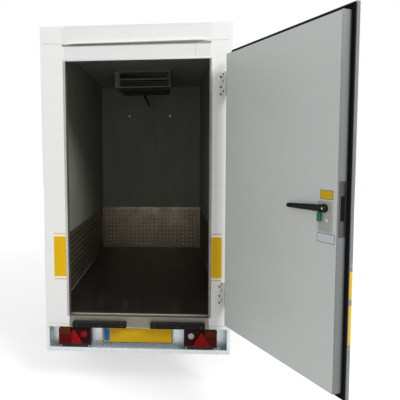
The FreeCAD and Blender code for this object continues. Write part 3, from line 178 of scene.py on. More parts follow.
def repeated(shape: Shape, places: Array) -> Shape:
    """The skin copied to each place: p(i, j) = place i + point j, for all i and j at once.

    Args:
        shape: the skin to copy.
        places: rows of three, one for each copy.

    Returns:
        All the copies as one skin.
    """
    places = np.asarray(places, float).reshape(-1, 3)
    points = places[:, None, :] + shape.points[None, :, :]
    step = (np.arange(len(places)) * len(shape.points))[:, None, None]
    faces = np.where(shape.faces[None] == NO_CORNER, NO_CORNER, shape.faces[None] + step)
    return Shape(points.reshape(-1, 3), faces.reshape(-1, 4))


def lattice(*axes: Sequence[float]) -> Array:
    """Every combination of the places along each axis, in rows."""
    return np.stack(np.meshgrid(*axes, indexing="ij"), -1).reshape(-1, len(axes))


def loft(rows: Array, closed: bool = True) -> Shape:
    """Skin over a stack of sections: a face joins points j and j + 1 of one section to the next's.

    Args:
        rows: an array of sections, points along each, and three coordinates.
        closed: whether each section's last point joins its first.

    Returns:
        The welded skin, facing out.
    """
    count, across = rows.shape[:2]
    i = np.arange(count - 1)[:, None] * across
    j = np.arange(across if closed else across - 1)[None, :]
    k = (j + 1) % across
    faces = np.stack([i + j, i + k, i + across + k, i + across + j], -1).reshape(-1, 4)
    return Shape(rows.reshape(-1, 3), faces).welded().outward()


def rounded_outline(width: float, height: float, radius: float, steps: int = 6) -> Array:
    """A rectangle with quarter circles at its corners: corner centre + radius (cos a, sin a).

    Args:
        width: size along x.
        height: size along y.
        radius: corner radius.
        steps: spans in each quarter circle.

    Returns:
        Rows of x and y, anticlockwise about the origin.
    """
    angle = (np.arange(4)[:, None] * QUARTER + np.linspace(0, QUARTER, steps + 1)[None]).reshape(-1)
    side = np.repeat([[1, 1], [-1, 1], [-1, -1], [1, -1]], steps + 1, axis=0)
    reach = np.array([width / 2 - radius, height / 2 - radius])
    return side * reach + radius * np.column_stack([np.cos(angle), np.sin(angle)])


def shrunk(outline: Array, amount: float) -> Array:
    """A closed outline drawn in by an amount, along the normal of the chord through the neighbours."""
    chord = np.roll(outline, -1, axis=0) - np.roll(outline, 1, axis=0)
    normal = np.column_stack([chord[:, 1], -chord[:, 0]])
    length = np.linalg.norm(normal, axis=1, keepdims=True)
    return outline - amount * normal / np.maximum(length, 1e-12)


def slab(outline: Array, thick: float, edge: float = 0.0, steps: int = 3, dome: float = 0.0) -> Shape:
    """A plate of an outline from z = 0 to z = thick, its upper edge a quarter circle.

    Section a of the edge is the outline drawn in by edge (1 - cos a), at z = thick - edge (1 - sin a);
    both flats close on the middle of the outline.

    Args:
        outline: rows of x and y.
        thick: height of the plate.
        edge: radius of the upper edge.
        steps: spans in the edge.
        dome: how far the middle stands above the flat.

    Returns:
        The closed skin.
    """
    middle = np.tile(outline.mean(axis=0), (len(outline), 1))
    angle = np.linspace(0, QUARTER, steps + 1) if edge > 0 else np.array([QUARTER])
    stack = [(middle, 0.0), (outline, 0.0)]
    if edge > 0:
        stack += [(shrunk(outline, edge * (1 - math.cos(a))), thick - edge * (1 - math.sin(a)))
                  for a in angle]
    else:
        stack.append((outline, thick))
    if dome > 0:
        half = middle + 0.5 * (shrunk(outline, edge) - middle)
        stack.append((half, thick + 0.75 * dome))
    stack.append((middle, thick + dome))
    rows = np.stack([np.column_stack([flat, np.full(len(flat), z)]) for flat, z in stack])
    return loft(rows)


def rounded_box(low: Point, high: Point, radius: float, steps: int = 3) -> Shape:
    """A block with round edges: p = middle + s (half - radius) + radius n, s the signs of normal n.

    The normals n run over a sphere in latitude and longitude, with each quarter's ends repeated so
    that both signs are there.

    Args:
        low: lowest corner.
        high: highest corner.
        radius: edge radius.
        steps: spans in each quarter circle.

    Returns:
        The closed skin.
    """
    low_corner, high_corner = np.array(low, float), np.array(high, float)
    middle, half = (low_corner + high_corner) / 2, (high_corner - low_corner) / 2
    radius = min(radius, half.min() * 0.999)
    quarter = np.linspace(0, QUARTER, steps + 1)
    around = (np.arange(4)[:, None] * QUARTER + quarter[None]).reshape(-1)
    around_x = np.repeat([1, -1, -1, 1], steps + 1)
    around_y = np.repeat([1, 1, -1, -1], steps + 1)
    up = np.concatenate([quarter - QUARTER, quarter])
    up_sign = np.repeat([-1, 1], steps + 1)
    normal = np.stack([np.cos(up)[:, None] * np.cos(around)[None], np.cos(up)[:, None] * np.sin(around)[None],
                       np.tile(np.sin(up)[:, None], (1, len(around)))], -1)
    sign = np.stack([np.tile(around_x, (len(up), 1)), np.tile(around_y, (len(up), 1)),
                     np.tile(up_sign[:, None], (1, len(around)))], -1)
    rows = middle + sign * (half - radius) + radius * normal
    return loft(np.concatenate([capped(rows[:1]), rows, capped(rows[-1:])]))


def capped(row: Array) -> Array:
    """A section shrunk to its middle point, which closes the end of a stack."""
    return np.broadcast_to(row.mean(axis=1, keepdims=True), row.shape)


def lathe(profile: Sequence[tuple[float, float]], sides: int = 24) -> Shape:
    """A turned body about z: (radius cos t, radius sin t, height) for each height and radius.

    Args:
        profile: heights and radii; a radius of 0 closes an end.
        sides: points round each section.

    Returns:
        The closed skin.
    """
    line = np.array(profile, float)
    turn = np.linspace(0, 2 * math.pi, sides, endpoint=False)
    rows = np.stack([line[:, 1:] * np.cos(turn), line[:, 1:] * np.sin(turn),
                     np.repeat(line[:, :1], sides, axis=1)], -1)
    return loft(rows)


def swept(path: Array, section: Array, up: Point = (0.0, 0.0, 1.0), closed: bool = False) -> Shape:
    """A section carried along a path: p = path + a side + b normal, for section points (a, b).

    The side is the cross product of the path's direction and the up direction, and the normal
    completes the three.

    Args:
        path: rows of three.
        section: rows of a and b, or one such array for each point of the path.
        up: a direction that the path never takes.
        closed: whether the path's end joins its start.

    Returns:
        The closed skin.
    """
    path = np.asarray(path, float)
    if closed:
        ahead = np.roll(path, -1, axis=0) - np.roll(path, 1, axis=0)
    else:
        ahead = np.gradient(path, axis=0)
    ahead /= np.linalg.norm(ahead, axis=1, keepdims=True)
    side = np.cross(ahead, np.array(up))
    side /= np.linalg.norm(side, axis=1, keepdims=True)
    normal = np.cross(side, ahead)
    section = np.broadcast_to(section, (len(path),) + np.asarray(section).shape[-2:])
    rows = (path[:, None] + section[..., :1] * side[:, None] + section[..., 1:] * normal[:, None])
    rows = np.concatenate([rows, rows[:1]]) if closed else np.concatenate([capped(rows[:1]), rows, capped(rows[-1:])])
    return loft(rows)


def circle(radius: float, sides: int = 12) -> Array:
    """Points round a circle of that radius."""
    turn = np.linspace(0, 2 * math.pi, sides, endpoint=False)
    return radius * np.column_stack([np.cos(turn), np.sin(turn)])


def rod(start: Point, end: Point, radius: float, sides: int = 12, up: Point = (0.0, 0.0, 1.0)) -> Shape:
    """A straight round rod between two places."""
    return swept(np.array([start, end]), circle(radius, sides), up)


def quarter_dome(radius: float, foot: float, height: float, steps: int) -> list[tuple[float, float]]:
    """A dome's profile from rim to crown: (foot + height sin t, radius cos t)."""
    return [(foot + height * math.sin(t), radius * math.cos(t)) for t in np.linspace(0, QUARTER, steps + 1)]


def about(axis: Point, degrees: float) -> Array:
    """The rotation by an angle about an axis, by Rodrigues' formula I + sin a K + (1 - cos a) K K."""
    x, y, z = np.array(axis, float) / np.linalg.norm(axis)
    cross = np.array([[0, -z, y], [z, 0, -x], [-y, x, 0]])
    angle = math.radians(degrees)
    return np.eye(3) + math.sin(angle) * cross + (1 - math.cos(angle)) * cross @ cross


def screw_head(radius: float, height: float) -> Shape:
    """A domed screw head with a round driving recess, turned from a short profile."""
    return lathe([(-height, 0), (-height, radius * 0.9), (0, radius), (height * 0.45, radius * 0.93),
                  (height * 0.85, radius * 0.66), (height, radius * 0.42), (height * 0.5, radius * 0.34),
                  (height * 0.4, 0)], 12)


def hex_bolt(radius: float, height: float) -> Shape:
    """A six-sided bolt head on its washer, with the top corners taken off."""
    washer = lathe([(0, 0), (0, radius * 1.35), (height * 0.2, radius * 1.35), (height * 0.2, 0)], 18)
    head = slab(circle(radius, 6), height, radius * 0.12, 2)
    return joined([washer, head.moved(z=height * 0.2)])


# ---------------------------------------------------------------- objects
def linked(name: str, data: bpy.types.ID) -> Object:
    """A new object that shows some data in the scene."""
    made = bpy.data.objects.new(name, data)
    bpy.context.scene.collection.objects.link(made)
    return made


def smoothed(mesh: bpy.types.Mesh) -> None:
    """Shades a mesh smooth, apart from edges whose faces turn by more than the smooth angle."""
    mesh.shade_smooth()
    mesh.set_sharp_from_angle(angle=SMOOTH_ANGLE)


def object_from(name: str, shape: Shape, finishes: Sequence[Finish], tags: Array) -> Object:
    """Puts a skin into a new mesh object at the origin.

    Args:
        name: the piece's name.
        shape: the skin.
        finishes: the finishes of its faces, in slot order.
        tags: the slot of each face.

    Returns:
        The linked object.
    """
    mesh = bpy.data.meshes.new(name)
    kept = shape.faces != NO_CORNER
    corners, totals = shape.faces[kept], kept.sum(axis=1)
    mesh.vertices.add(len(shape.points))
    mesh.loops.add(len(corners))
    mesh.polygons.add(len(totals))
    for rows, key, values in ((mesh.vertices, "co", shape.points.astype(np.float32).reshape(-1)),
                              (mesh.loops, "vertex_index", corners.astype(np.int32)),
                              (mesh.polygons, "loop_start", (np.cumsum(totals) - totals).astype(np.int32)),
                              (mesh.polygons, "loop_total", totals.astype(np.int32)),
                              (mesh.polygons, "material_index", tags.astype(np.int32))):
        rows.foreach_set(key, values)
    for finish in finishes:
        mesh.materials.append(finish.material())
    mesh.update(calc_edges=True)
    mesh.validate()
    smoothed(mesh)
    return linked(name, mesh)


def add_piece(name: str, shape: Shape, finish: Finish, body: Body = Body.TRAILER,
              instead_of: Sequence[str] = ()) -> None:
    """Adds a piece of one finish; add_mixed says what the arguments are."""
    add_mixed(name, [(shape, finish)], body, instead_of)


def add_mixed(name: str, parts: Sequence[tuple[Shape, Finish]], body: Body = Body.TRAILER,
              instead_of: Sequence[str] = ()) -> None:
    """Adds a piece of several skins, each with its own finish.

    Args:
        name: the piece's name.
        parts: skins and their finishes.
        body: the body it moves with.
        instead_of: the construction's nodes that it stands for.
    """
    finishes = list(dict.fromkeys(finish for _, finish in parts))
    tags = np.concatenate([np.full(len(shape.faces), finishes.index(finish)) for shape, finish in parts])
    whole = joined(shape for shape, _ in parts)
    fit(object_from(name, whole, finishes, tags), finishes[0], body, instead_of)


def fit(piece: Object, finish: Finish, body: Body, instead_of: Sequence[str]) -> None:
    """Ties a piece to its body, hides the nodes it stands for, and reports it."""
    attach(piece, body.value)
    if instead_of:
        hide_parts(*instead_of)
    LOG.info("%s: %d faces on %s", piece.name, len(piece.data.polygons), body.value)


def dressed(node: str, finish: Finish) -> None:
    """Gives a node of the construction its finish and leaves its mesh as it is."""
    materials = frame["nodes"][node].data.materials
    materials.clear()
    materials.append(finish.material())
    LOG.info("%s: finished as %s", node, type(finish).__name__)


def refined(node: str, finish: Finish, edge: float = 0.0, body: Body = Body.TRAILER) -> None:
    """Puts in a copy of a node with its loose triangles merged, its flats made whole and its edges rounded.

    Args:
        node: the construction's node.
        finish: its finish.
        edge: width of the rounding.
        body: the body it moves with.
    """
    mesh = frame["nodes"][node].data.copy()
    mesh.name = node + "_skin"
    work = bmesh.new()
    work.from_mesh(mesh)
    bmesh.ops.remove_doubles(work, verts=work.verts[:], dist=WELD_REACH)
    bmesh.ops.dissolve_limit(work, angle_limit=FLAT_ANGLE, verts=work.verts[:], edges=work.edges[:])
    for face in work.faces:
        face.material_index = 0
    work.to_mesh(mesh)
    work.free()
    mesh.materials.clear()
    mesh.materials.append(finish.material())
    smoothed(mesh)
    piece = linked(mesh.name, mesh)
    if edge > 0:
        bevel = piece.modifiers.new("rounded edges", "BEVEL")
        bevel.width, bevel.segments = edge, 2
        bevel.limit_method, bevel.angle_limit = "ANGLE", SMOOTH_ANGLE
        bevel.harden_normals = True
    fit(piece, finish, body, [node])


def refine_all(rows: Sequence[tuple[str, Finish, float]], body: Body = Body.TRAILER) -> None:
    """Refines each node of a table with the columns node, finish and edge width."""
    for node, finish, edge in rows:
        refined(node, finish, edge, body)


def corners_of(node: str) -> tuple[Array, Array]:
    """A node's lowest and highest corner at rest."""
    low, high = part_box(node)
    return np.array(low), np.array(high)


def points_of(node: str) -> Array:
    """A node's points at rest, in rows of three."""
    vertices = frame["nodes"][node].data.vertices
    flat = np.empty(len(vertices) * 3)
    vertices.foreach_get("co", flat)
    return flat.reshape(-1, 3)


def blocks(corners: Iterable[tuple[Point, Point]], radius: float, steps: int = 2) -> Shape:
    """Blocks with round edges between pairs of lowest and highest corners, as one skin."""
    return joined(rounded_box(low, high, radius, steps) for low, high in corners)


def studs(head: Shape, facing: Facing, *axes: Sequence[float]) -> Shape:
    """A head turned to a facing and copied to every combination of the places along x, y and z."""
    return repeated(head.fitted(facing), lattice(*axes))


def side_studs(node: str, head: Shape, along: Sequence[float], rises: Sequence[float]) -> Shape:
    """A head on both sides of a node: at its lowest and highest x, and at every y and z given."""
    low, high = corners_of(node)
    return joined(studs(head, facing, (x,), along, rises)
                  for x, facing in ((low[0], Facing.LEFT), (high[0], Facing.RIGHT)))


# ---------------------------------------------------------------- shader wiring
COLOUR_SOCKETS = ("Colour", "Dust")
WHITE = (1.0, 1.0, 1.0)
DUST_ROUGHNESS = 0.85
BARE_ROUGHNESS = 0.42
SPANGLE_WARP = (0.012, 0.012, 0.012)
SCRATCH_COLOUR = (0.75, 0.74, 0.72)


class Wiring:
    """Places nodes in a tree and joins them."""

    def __init__(self, tree: Tree) -> None:
        """Takes the tree that the nodes go into."""
        self.tree = tree

    def feed(self, socket: Socket, source: Source) -> None:
        """Links a socket, or writes a number or colour on it."""
        if isinstance(source, Socket):
            self.tree.links.new(source, socket)
        elif isinstance(source, (tuple, list)) and len(source) == 3 and socket.type == "RGBA":
            socket.default_value = (*source, 1.0)
        else:
            socket.default_value = source

    def node(self, kind: str, feeds: Mapping[str | int, Source] | None = None,
             **settings: object) -> bpy.types.Node:
        """A new shader node of a kind, with its settings and with its inputs fed by name or number."""
        made = self.tree.nodes.new("ShaderNode" + kind)
        for key, value in settings.items():
            setattr(made, key, value)
        self.feed_all(made, feeds or {})
        return made

    def feed_all(self, node: bpy.types.Node, feeds: Mapping[str | int, Source]) -> None:
        """Feeds a node's inputs by name or number."""
        for key, source in feeds.items():
            self.feed(node.inputs[key], source)

    def math(self, operation: str, *sources: Source, clamp: bool = False) -> Socket:
        """The result of a sum on one, two or three numbers."""
        return self.node("Math", dict(enumerate(sources)), operation=operation, use_clamp=clamp).outputs[0]

    def product(self, result: Source, *factors: Source) -> Source:
        """Several numbers multiplied."""
        for factor in factors:
            result = self.math("MULTIPLY", result, factor)
        return result

    def mix(self, factor: Source, first: Source, second: Source) -> Socket:
        """A colour between two others."""
        return self.node("Mix", {0: factor, 6: first, 7: second}, data_type="RGBA").outputs[2]

    def between(self, factor: Source, first: Source, second: Source) -> Socket:
        """A number between two others."""
        return self.node("Mix", {0: factor, 2: first, 3: second}, data_type="FLOAT").outputs[0]

    def shaded(self, colour: Source, amount: Source) -> Socket:
        """A colour times a number."""
        return self.node("VectorMath", {0: colour, "Scale": amount}, operation="SCALE").outputs[0]

    def ramp(self, value: Source, low: float, high: float, start: float = 0.0,
             end: float = 1.0) -> Socket:
        """A smooth step of a value from start at low to end at high."""
        feeds = dict(enumerate((value, low, high, start, end)))
        return self.node("MapRange", feeds, interpolation_type="SMOOTHSTEP").outputs[0]

    def swing(self, value: Source, low: float, high: float, amount: float) -> Socket:
        """A smooth step from 1 - amount at low to 1 + amount at high."""
        return self.ramp(value, low, high, 1 - amount, 1 + amount)

    def place(self) -> Socket:
        """Object coordinates, which are metres in the trailer's frame."""
        return self.node("TexCoord").outputs["Object"]

    def axes(self, place: Socket) -> Sequence[Socket]:
        """The x, y and z of a place."""
        return self.node("SeparateXYZ", {0: place}).outputs[:]

    def noise(self, place: Socket, scale: Source, detail: float = 2.0, rough: float = 0.5,
              stretch: Point | None = None) -> Socket:
        """Cloudy noise from 0 to 1 with so many swings to the metre, in a place whose axes may be stretched."""
        if stretch is not None:
            place = self.node("Mapping", {0: place, "Scale": stretch}).outputs[0]
        feeds = {"Vector": place, "Scale": scale, "Detail": detail, "Roughness": rough}
        return self.node("TexNoise", feeds).outputs["Fac"]

    def cells(self, place: Socket, scale: Source, feature: str = "F1",
              random: float = 1.0) -> Sockets:
        """What Voronoi cells with so many to the metre give."""
        feeds = {"Vector": place, "Scale": scale, "Randomness": random}
        return self.node("TexVoronoi", feeds, feature=feature).outputs

    def effect(self, name: str, **sources: Source) -> Sockets:
        """What one of the shared effects gives with its inputs fed."""
        return self.node("Group", sources, node_tree=effect_tree(name)).outputs


def effect_tree(name: str) -> Tree:
    """A shared effect's node group, built the first time it is asked for."""
    return bpy.data.node_groups.get(name) or EFFECTS[name]()


def new_effect(name: str, inputs: Sequence[str], outputs: Sequence[str]) -> tuple[Wiring, Sockets, Sockets]:
    """An empty effect with its named sockets, all of them numbers but the colour sockets.

    Args:
        name: the effect's name.
        inputs: names of what goes in.
        outputs: names of what comes out.

    Returns:
        The wiring, what the effect is given, and what it gives.
    """
    tree = bpy.data.node_groups.new(name, "ShaderNodeTree")
    for direction, labels in (("INPUT", inputs), ("OUTPUT", outputs)):
        for label in labels:
            kind = "NodeSocketColor" if label in COLOUR_SOCKETS else "NodeSocketFloat"
            tree.interface.new_socket(label, in_out=direction, socket_type=kind)
    return Wiring(tree), tree.nodes.new("NodeGroupInput").outputs, tree.nodes.new("NodeGroupOutput").inputs


def road_dust() -> Tree:
    """Dust that thins out upwards from a foot height, lies in clouds and settles on level faces."""
    wire, given, out = new_effect("road_dust", ("Colour", "Dust", "Roughness", "Amount", "Foot", "Reach", "Settle"),
                                  ("Colour", "Roughness"))
    place = wire.place()
    rise = wire.math("SUBTRACT", wire.axes(place)[2], given["Foot"])
    low = wire.math("SUBTRACT", 1.0, wire.math("DIVIDE", rise, given["Reach"], clamp=True), clamp=True)
    cloud = wire.ramp(wire.noise(place, 5.0, 5.0, 0.6), 0.38, 0.72)
    streak = wire.ramp(wire.noise(place, 1.0, 3.0, stretch=(40, 40, 2.5)), 0.5, 0.75)
    spread = wire.math("ADD", wire.product(cloud, 0.7), wire.product(streak, 0.3))
    fade = wire.math("MULTIPLY_ADD", wire.math("POWER", low, 1.6), 0.92, 0.08)
    level = wire.ramp(wire.axes(wire.node("NewGeometry").outputs["Normal"])[2], 0.55, 0.95)
    lain = wire.product(wire.math("MULTIPLY_ADD", cloud, 0.5, 0.5), level)
    mask = wire.math("MULTIPLY_ADD", lain, given["Settle"], wire.product(spread, fade, given["Amount"]), clamp=True)
    wire.feed(out[0], wire.mix(mask, given["Colour"], given["Dust"]))
    wire.feed(out[1], wire.between(mask, given["Roughness"], DUST_ROUGHNESS))
    return wire.tree


def fine_grain() -> Tree:
    """Moulded or rolled grain: a fine height, a slow tone, and both from one scale."""
    wire, given, out = new_effect("fine_grain", ("Scale",), ("Height", "Tone"))
    place = wire.place()
    fine = wire.noise(place, given["Scale"], 3.0, 0.55)
    slow = wire.noise(place, wire.product(given["Scale"], 0.03), 4.0, 0.6)
    wire.feed(out[0], fine)
    wire.feed(out[1], wire.between(0.3, slow, fine))
    return wire.tree


def edge_rub() -> Tree:
    """Paint rubbed off at edges: where the surface is sharply convex and a noise allows it."""
    wire, given, out = new_effect("edge_rub", ("Amount",), ("Mask",))
    edge = wire.ramp(wire.node("NewGeometry").outputs["Pointiness"], 0.53, 0.62)
    gaps = wire.ramp(wire.noise(wire.place(), 60.0, 4.0, 0.7), 0.42, 0.62)
    wire.feed(out[0], wire.product(edge, gaps, given["Amount"]))
    return wire.tree


def zinc_spangle() -> Tree:
    """Crystals of hot-dip zinc: each cell has its own tone and gloss, under a slow cloudy weathering."""
    wire, given, out = new_effect("zinc_spangle", ("Scale",), ("Tone", "Roughness", "Height"))
    place = wire.place()
    bend = wire.node("TexNoise", {"Vector": place, "Scale": 45.0}).outputs["Color"]
    warp = wire.node("VectorMath", {0: bend, 1: SPANGLE_WARP, 2: place}, operation="MULTIPLY_ADD")
    grain = wire.cells(warp.outputs[0], given["Scale"])
    crystal = wire.axes(grain["Color"])[0]
    wire.feed(out[0], wire.between(0.45, crystal, wire.noise(place, 7.0, 5.0, 0.6)))
    wire.feed(out[1], wire.math("MULTIPLY_ADD", crystal, 0.22, 0.34))
    wire.feed(out[2], grain["Distance"])
    return wire.tree


EFFECTS = {effect.__name__: effect for effect in (road_dust, fine_grain, edge_rub, zinc_spangle)}


# ---------------------------------------------------------------- finishes
@dataclass
class Surface:
    """What a pattern gives to a material: sockets or plain values."""

    colour: Source
    roughness: Source
    height: Source


@dataclass(frozen=True)
class Finish:
    """A surface finish: its colour, gloss and grain, and the road dust that lies on it."""

    slot: str
    colour: Colour
    roughness: float = 0.4
    metallic: float = 0.0
    coat: float = 0.0
    coat_roughness: float = 0.08
    specular: float = 0.5
    grain: float = 520.0
    relief: float = 0.00006
    tone: float = 0.08
    dust: float = 0.0
    dust_colour: Colour = (0.21, 0.185, 0.15)
    dust_foot: float = -0.45
    dust_reach: float = 0.75
    settle: float = 0.12
    rub: float = 0.0
    bare: Colour = (0.42, 0.42, 0.41)

    def pattern(self, wire: Wiring) -> Surface:
        """An even colour whose tone and gloss swing slowly, over a fine grain."""
        grain = wire.effect("fine_grain", Scale=self.grain)
        swing = wire.swing(grain["Tone"], 0.3, 0.7, self.tone)
        gloss = wire.ramp(grain["Tone"], 0.3, 0.7, self.roughness * 0.88, self.roughness * 1.12)
        return Surface(wire.shaded(self.colour, swing), gloss, grain["Height"])

    def material(self) -> bpy.types.Material:
        """The finish's material, built the first time it is asked for."""
        if self not in MATERIALS:
            MATERIALS[self] = self.build()
        return MATERIALS[self]

    def build(self) -> bpy.types.Material:
        """Wires the pattern, edge wear, dust and bump into a Principled shader."""
        material = bpy.data.materials.new(f"{self.slot}_{len(MATERIALS):02d}")
        material.use_nodes = True
        material.node_tree.nodes.clear()
        wire = Wiring(material.node_tree)
        look = self.pattern(wire)
        colour, roughness, metallic = look.colour, look.roughness, self.metallic
        if self.rub > 0:
            mask = wire.effect("edge_rub", Amount=self.rub)["Mask"]
            colour, metallic = wire.mix(mask, colour, self.bare), wire.between(mask, metallic, 1.0)
            roughness = wire.between(mask, roughness, BARE_ROUGHNESS)
        if self.dust > 0:
            dusty = wire.effect("road_dust", Colour=colour, Dust=self.dust_colour, Roughness=roughness,
                                Amount=self.dust, Foot=self.dust_foot, Reach=self.dust_reach,
                                Settle=self.settle)
            colour, roughness = dusty["Colour"], dusty["Roughness"]
        bump = wire.node("Bump", {"Distance": self.relief, "Height": look.height})
        shader = wire.node("BsdfPrincipled", {
            "Base Color": colour, "Roughness": roughness, "Metallic": metallic, "Coat Weight": self.coat,
            "Coat Roughness": self.coat_roughness, "Specular IOR Level": self.specular,
            "Normal": bump.outputs[0]})
        wire.node("OutputMaterial", {0: shader.outputs[0]})
        return material


MATERIALS: dict[Finish, bpy.types.Material] = {}


@dataclass(frozen=True)
class SandwichSkin(Finish):
    """Polyester panel skin: gloss white outside, satin lining on the faces within the load space, its colour darkened
    as painted shade.
    """

    # lining colour darker than the real pale lining: painted shade of the load space
    lining: Colour = (0.29, 0.302, 0.245)
    lining_roughness: float = 0.62
    lining_tone: float = 0.07
    half_width: float = 0.6262
    front: float = -1.2188
    ceiling: float = 2.2062
    floor: float = 0.16

    def pattern(self, wire: Wiring) -> Surface:
        """A gel coat with a slow ripple; inside the load space's limits it is the lining, darkened as painted shade."""
        outer, place = super().pattern(wire), wire.place()
        x, y, z = wire.axes(place)
        inside = wire.math("LESS_THAN", wire.math("ABSOLUTE", x), self.half_width)
        for test, value, limit in (("LESS_THAN", y, self.front), ("LESS_THAN", z, self.ceiling),
                                   ("GREATER_THAN", z, self.floor)):
            inside = wire.product(inside, wire.math(test, value, limit))
        smear = wire.noise(place, 1.6, 5.0, 0.6, (3, 3, 1.2))
        lining = wire.shaded(self.lining, wire.swing(smear, 0.3, 0.7, self.lining_tone))
        return Surface(wire.mix(inside, outer.colour, lining),
                       wire.between(inside, outer.roughness, self.lining_roughness), outer.height)


@dataclass(frozen=True)
class Zinc(Finish):
    """Hot-dip galvanised steel with its spangle."""

    relief: float = 0.00003
    spangle: float = 95.0

    def pattern(self, wire: Wiring) -> Surface:
        """The crystal's tone scales the colour and its gloss."""
        zinc = wire.effect("zinc_spangle", Scale=self.spangle)
        tone = wire.swing(zinc["Tone"], 0.15, 0.85, self.tone)
        return Surface(wire.shaded(self.colour, tone), zinc["Roughness"], zinc["Height"])


@dataclass(frozen=True)
class Brushed(Finish):
    """Metal with fine lines along one direction and a few stray scratches."""

    relief: float = 0.00002
    tone: float = 0.1
    lines: Point = (3.0, 3.0, 900.0)
    scratches: float = 0.25

    def pattern(self, wire: Wiring) -> Surface:
        """Noise stretched along the lines; scratches are the thin crests of a second, turned noise."""
        place = wire.place()
        line = wire.noise(place, 1.0, 3.0, 0.6, self.lines)
        cloud = wire.noise(place, 6.0, 4.0, 0.6)
        crest = wire.math("ABSOLUTE", wire.math("SUBTRACT", wire.noise(place, 1.3, 6.0, 0.62, (14, 30, 9)), 0.5))
        scratch = wire.ramp(crest, 0.0, 0.012, self.scratches, 0.0)
        tone = wire.swing(wire.between(0.4, line, cloud), 0.3, 0.7, self.tone)
        gloss = wire.ramp(cloud, 0.3, 0.7, self.roughness * 0.8, self.roughness * 1.25)
        return Surface(wire.mix(scratch, wire.shaded(self.colour, tone), SCRATCH_COLOUR), gloss, line)


@dataclass(frozen=True)
class MeshBoard(Finish):
    """Phenolic floor board: a wire-mesh print in its face, and scuffs where loads slide."""

    pitch: float = 0.0052
    scuff: Colour = (0.075, 0.062, 0.048)

    def pattern(self, wire: Wiring) -> Surface:
        """The print is sin(k u) sin(k v) on lines turned 45 degrees; scuffs run lengthwise."""
        place = wire.place()
        x, y, _ = wire.axes(place)
        wave = 2 * math.pi / self.pitch
        height = wire.product(*(wire.math("SINE", wire.product(wire.math(way, x, y), wave))
                                for way in ("ADD", "SUBTRACT")))
        worn = wire.ramp(wire.noise(place, 1.4, 7.0, 0.68, (5.5, 1.1, 1)), 0.44, 0.66)
        streak = wire.ramp(wire.noise(place, 1.0, 4.0, 0.6, (70, 2.2, 1)), 0.5, 0.72)
        mask = wire.product(worn, wire.math("MULTIPLY_ADD", streak, 0.6, 0.4))
        return Surface(wire.mix(mask, self.colour, self.scuff),
                       wire.between(mask, self.roughness, self.roughness + 0.16), height)


@dataclass(frozen=True)
class Lens(Finish):
    """Clear coloured plastic over a faceted back: prism cells under a hard gloss coat."""

    coat: float = 0.05
    coat_roughness: float = 0.03
    relief: float = 0.0004
    cell: float = 260.0
    depth: float = 0.42

    def pattern(self, wire: Wiring) -> Surface:
        """Each prism is darker towards its border and has its own tone."""
        cell = wire.cells(wire.place(), self.cell, random=0.12)
        rim = wire.ramp(cell["Distance"], 0.15, 0.62, 1.0, 1 - self.depth)
        glint = wire.product(rim, wire.swing(wire.axes(cell["Color"])[0], 0.0, 1.0, 0.22))
        return Surface(wire.shaded(self.colour, glint), self.roughness, cell["Distance"])


@dataclass(frozen=True)
class Reflective(Finish):
    """Reflective sheet with a fine honeycomb under its face."""

    specular: float = 0.15
    relief: float = 0.00004
    comb: float = 330.0

    def pattern(self, wire: Wiring) -> Surface:
        """The comb's borders are a little lighter than its cells."""
        place = wire.place()
        edge = wire.cells(place, self.comb, "DISTANCE_TO_EDGE", 0.0)["Distance"]
        border = wire.ramp(edge, 0.02, 0.09, 1.12, 0.97)
        cloud = wire.swing(wire.noise(place, 9.0, 4.0), 0.3, 0.7, self.tone)
        return Surface(wire.shaded(wire.shaded(self.colour, border), cloud), self.roughness,
                       wire.ramp(edge, 0.0, 0.1))


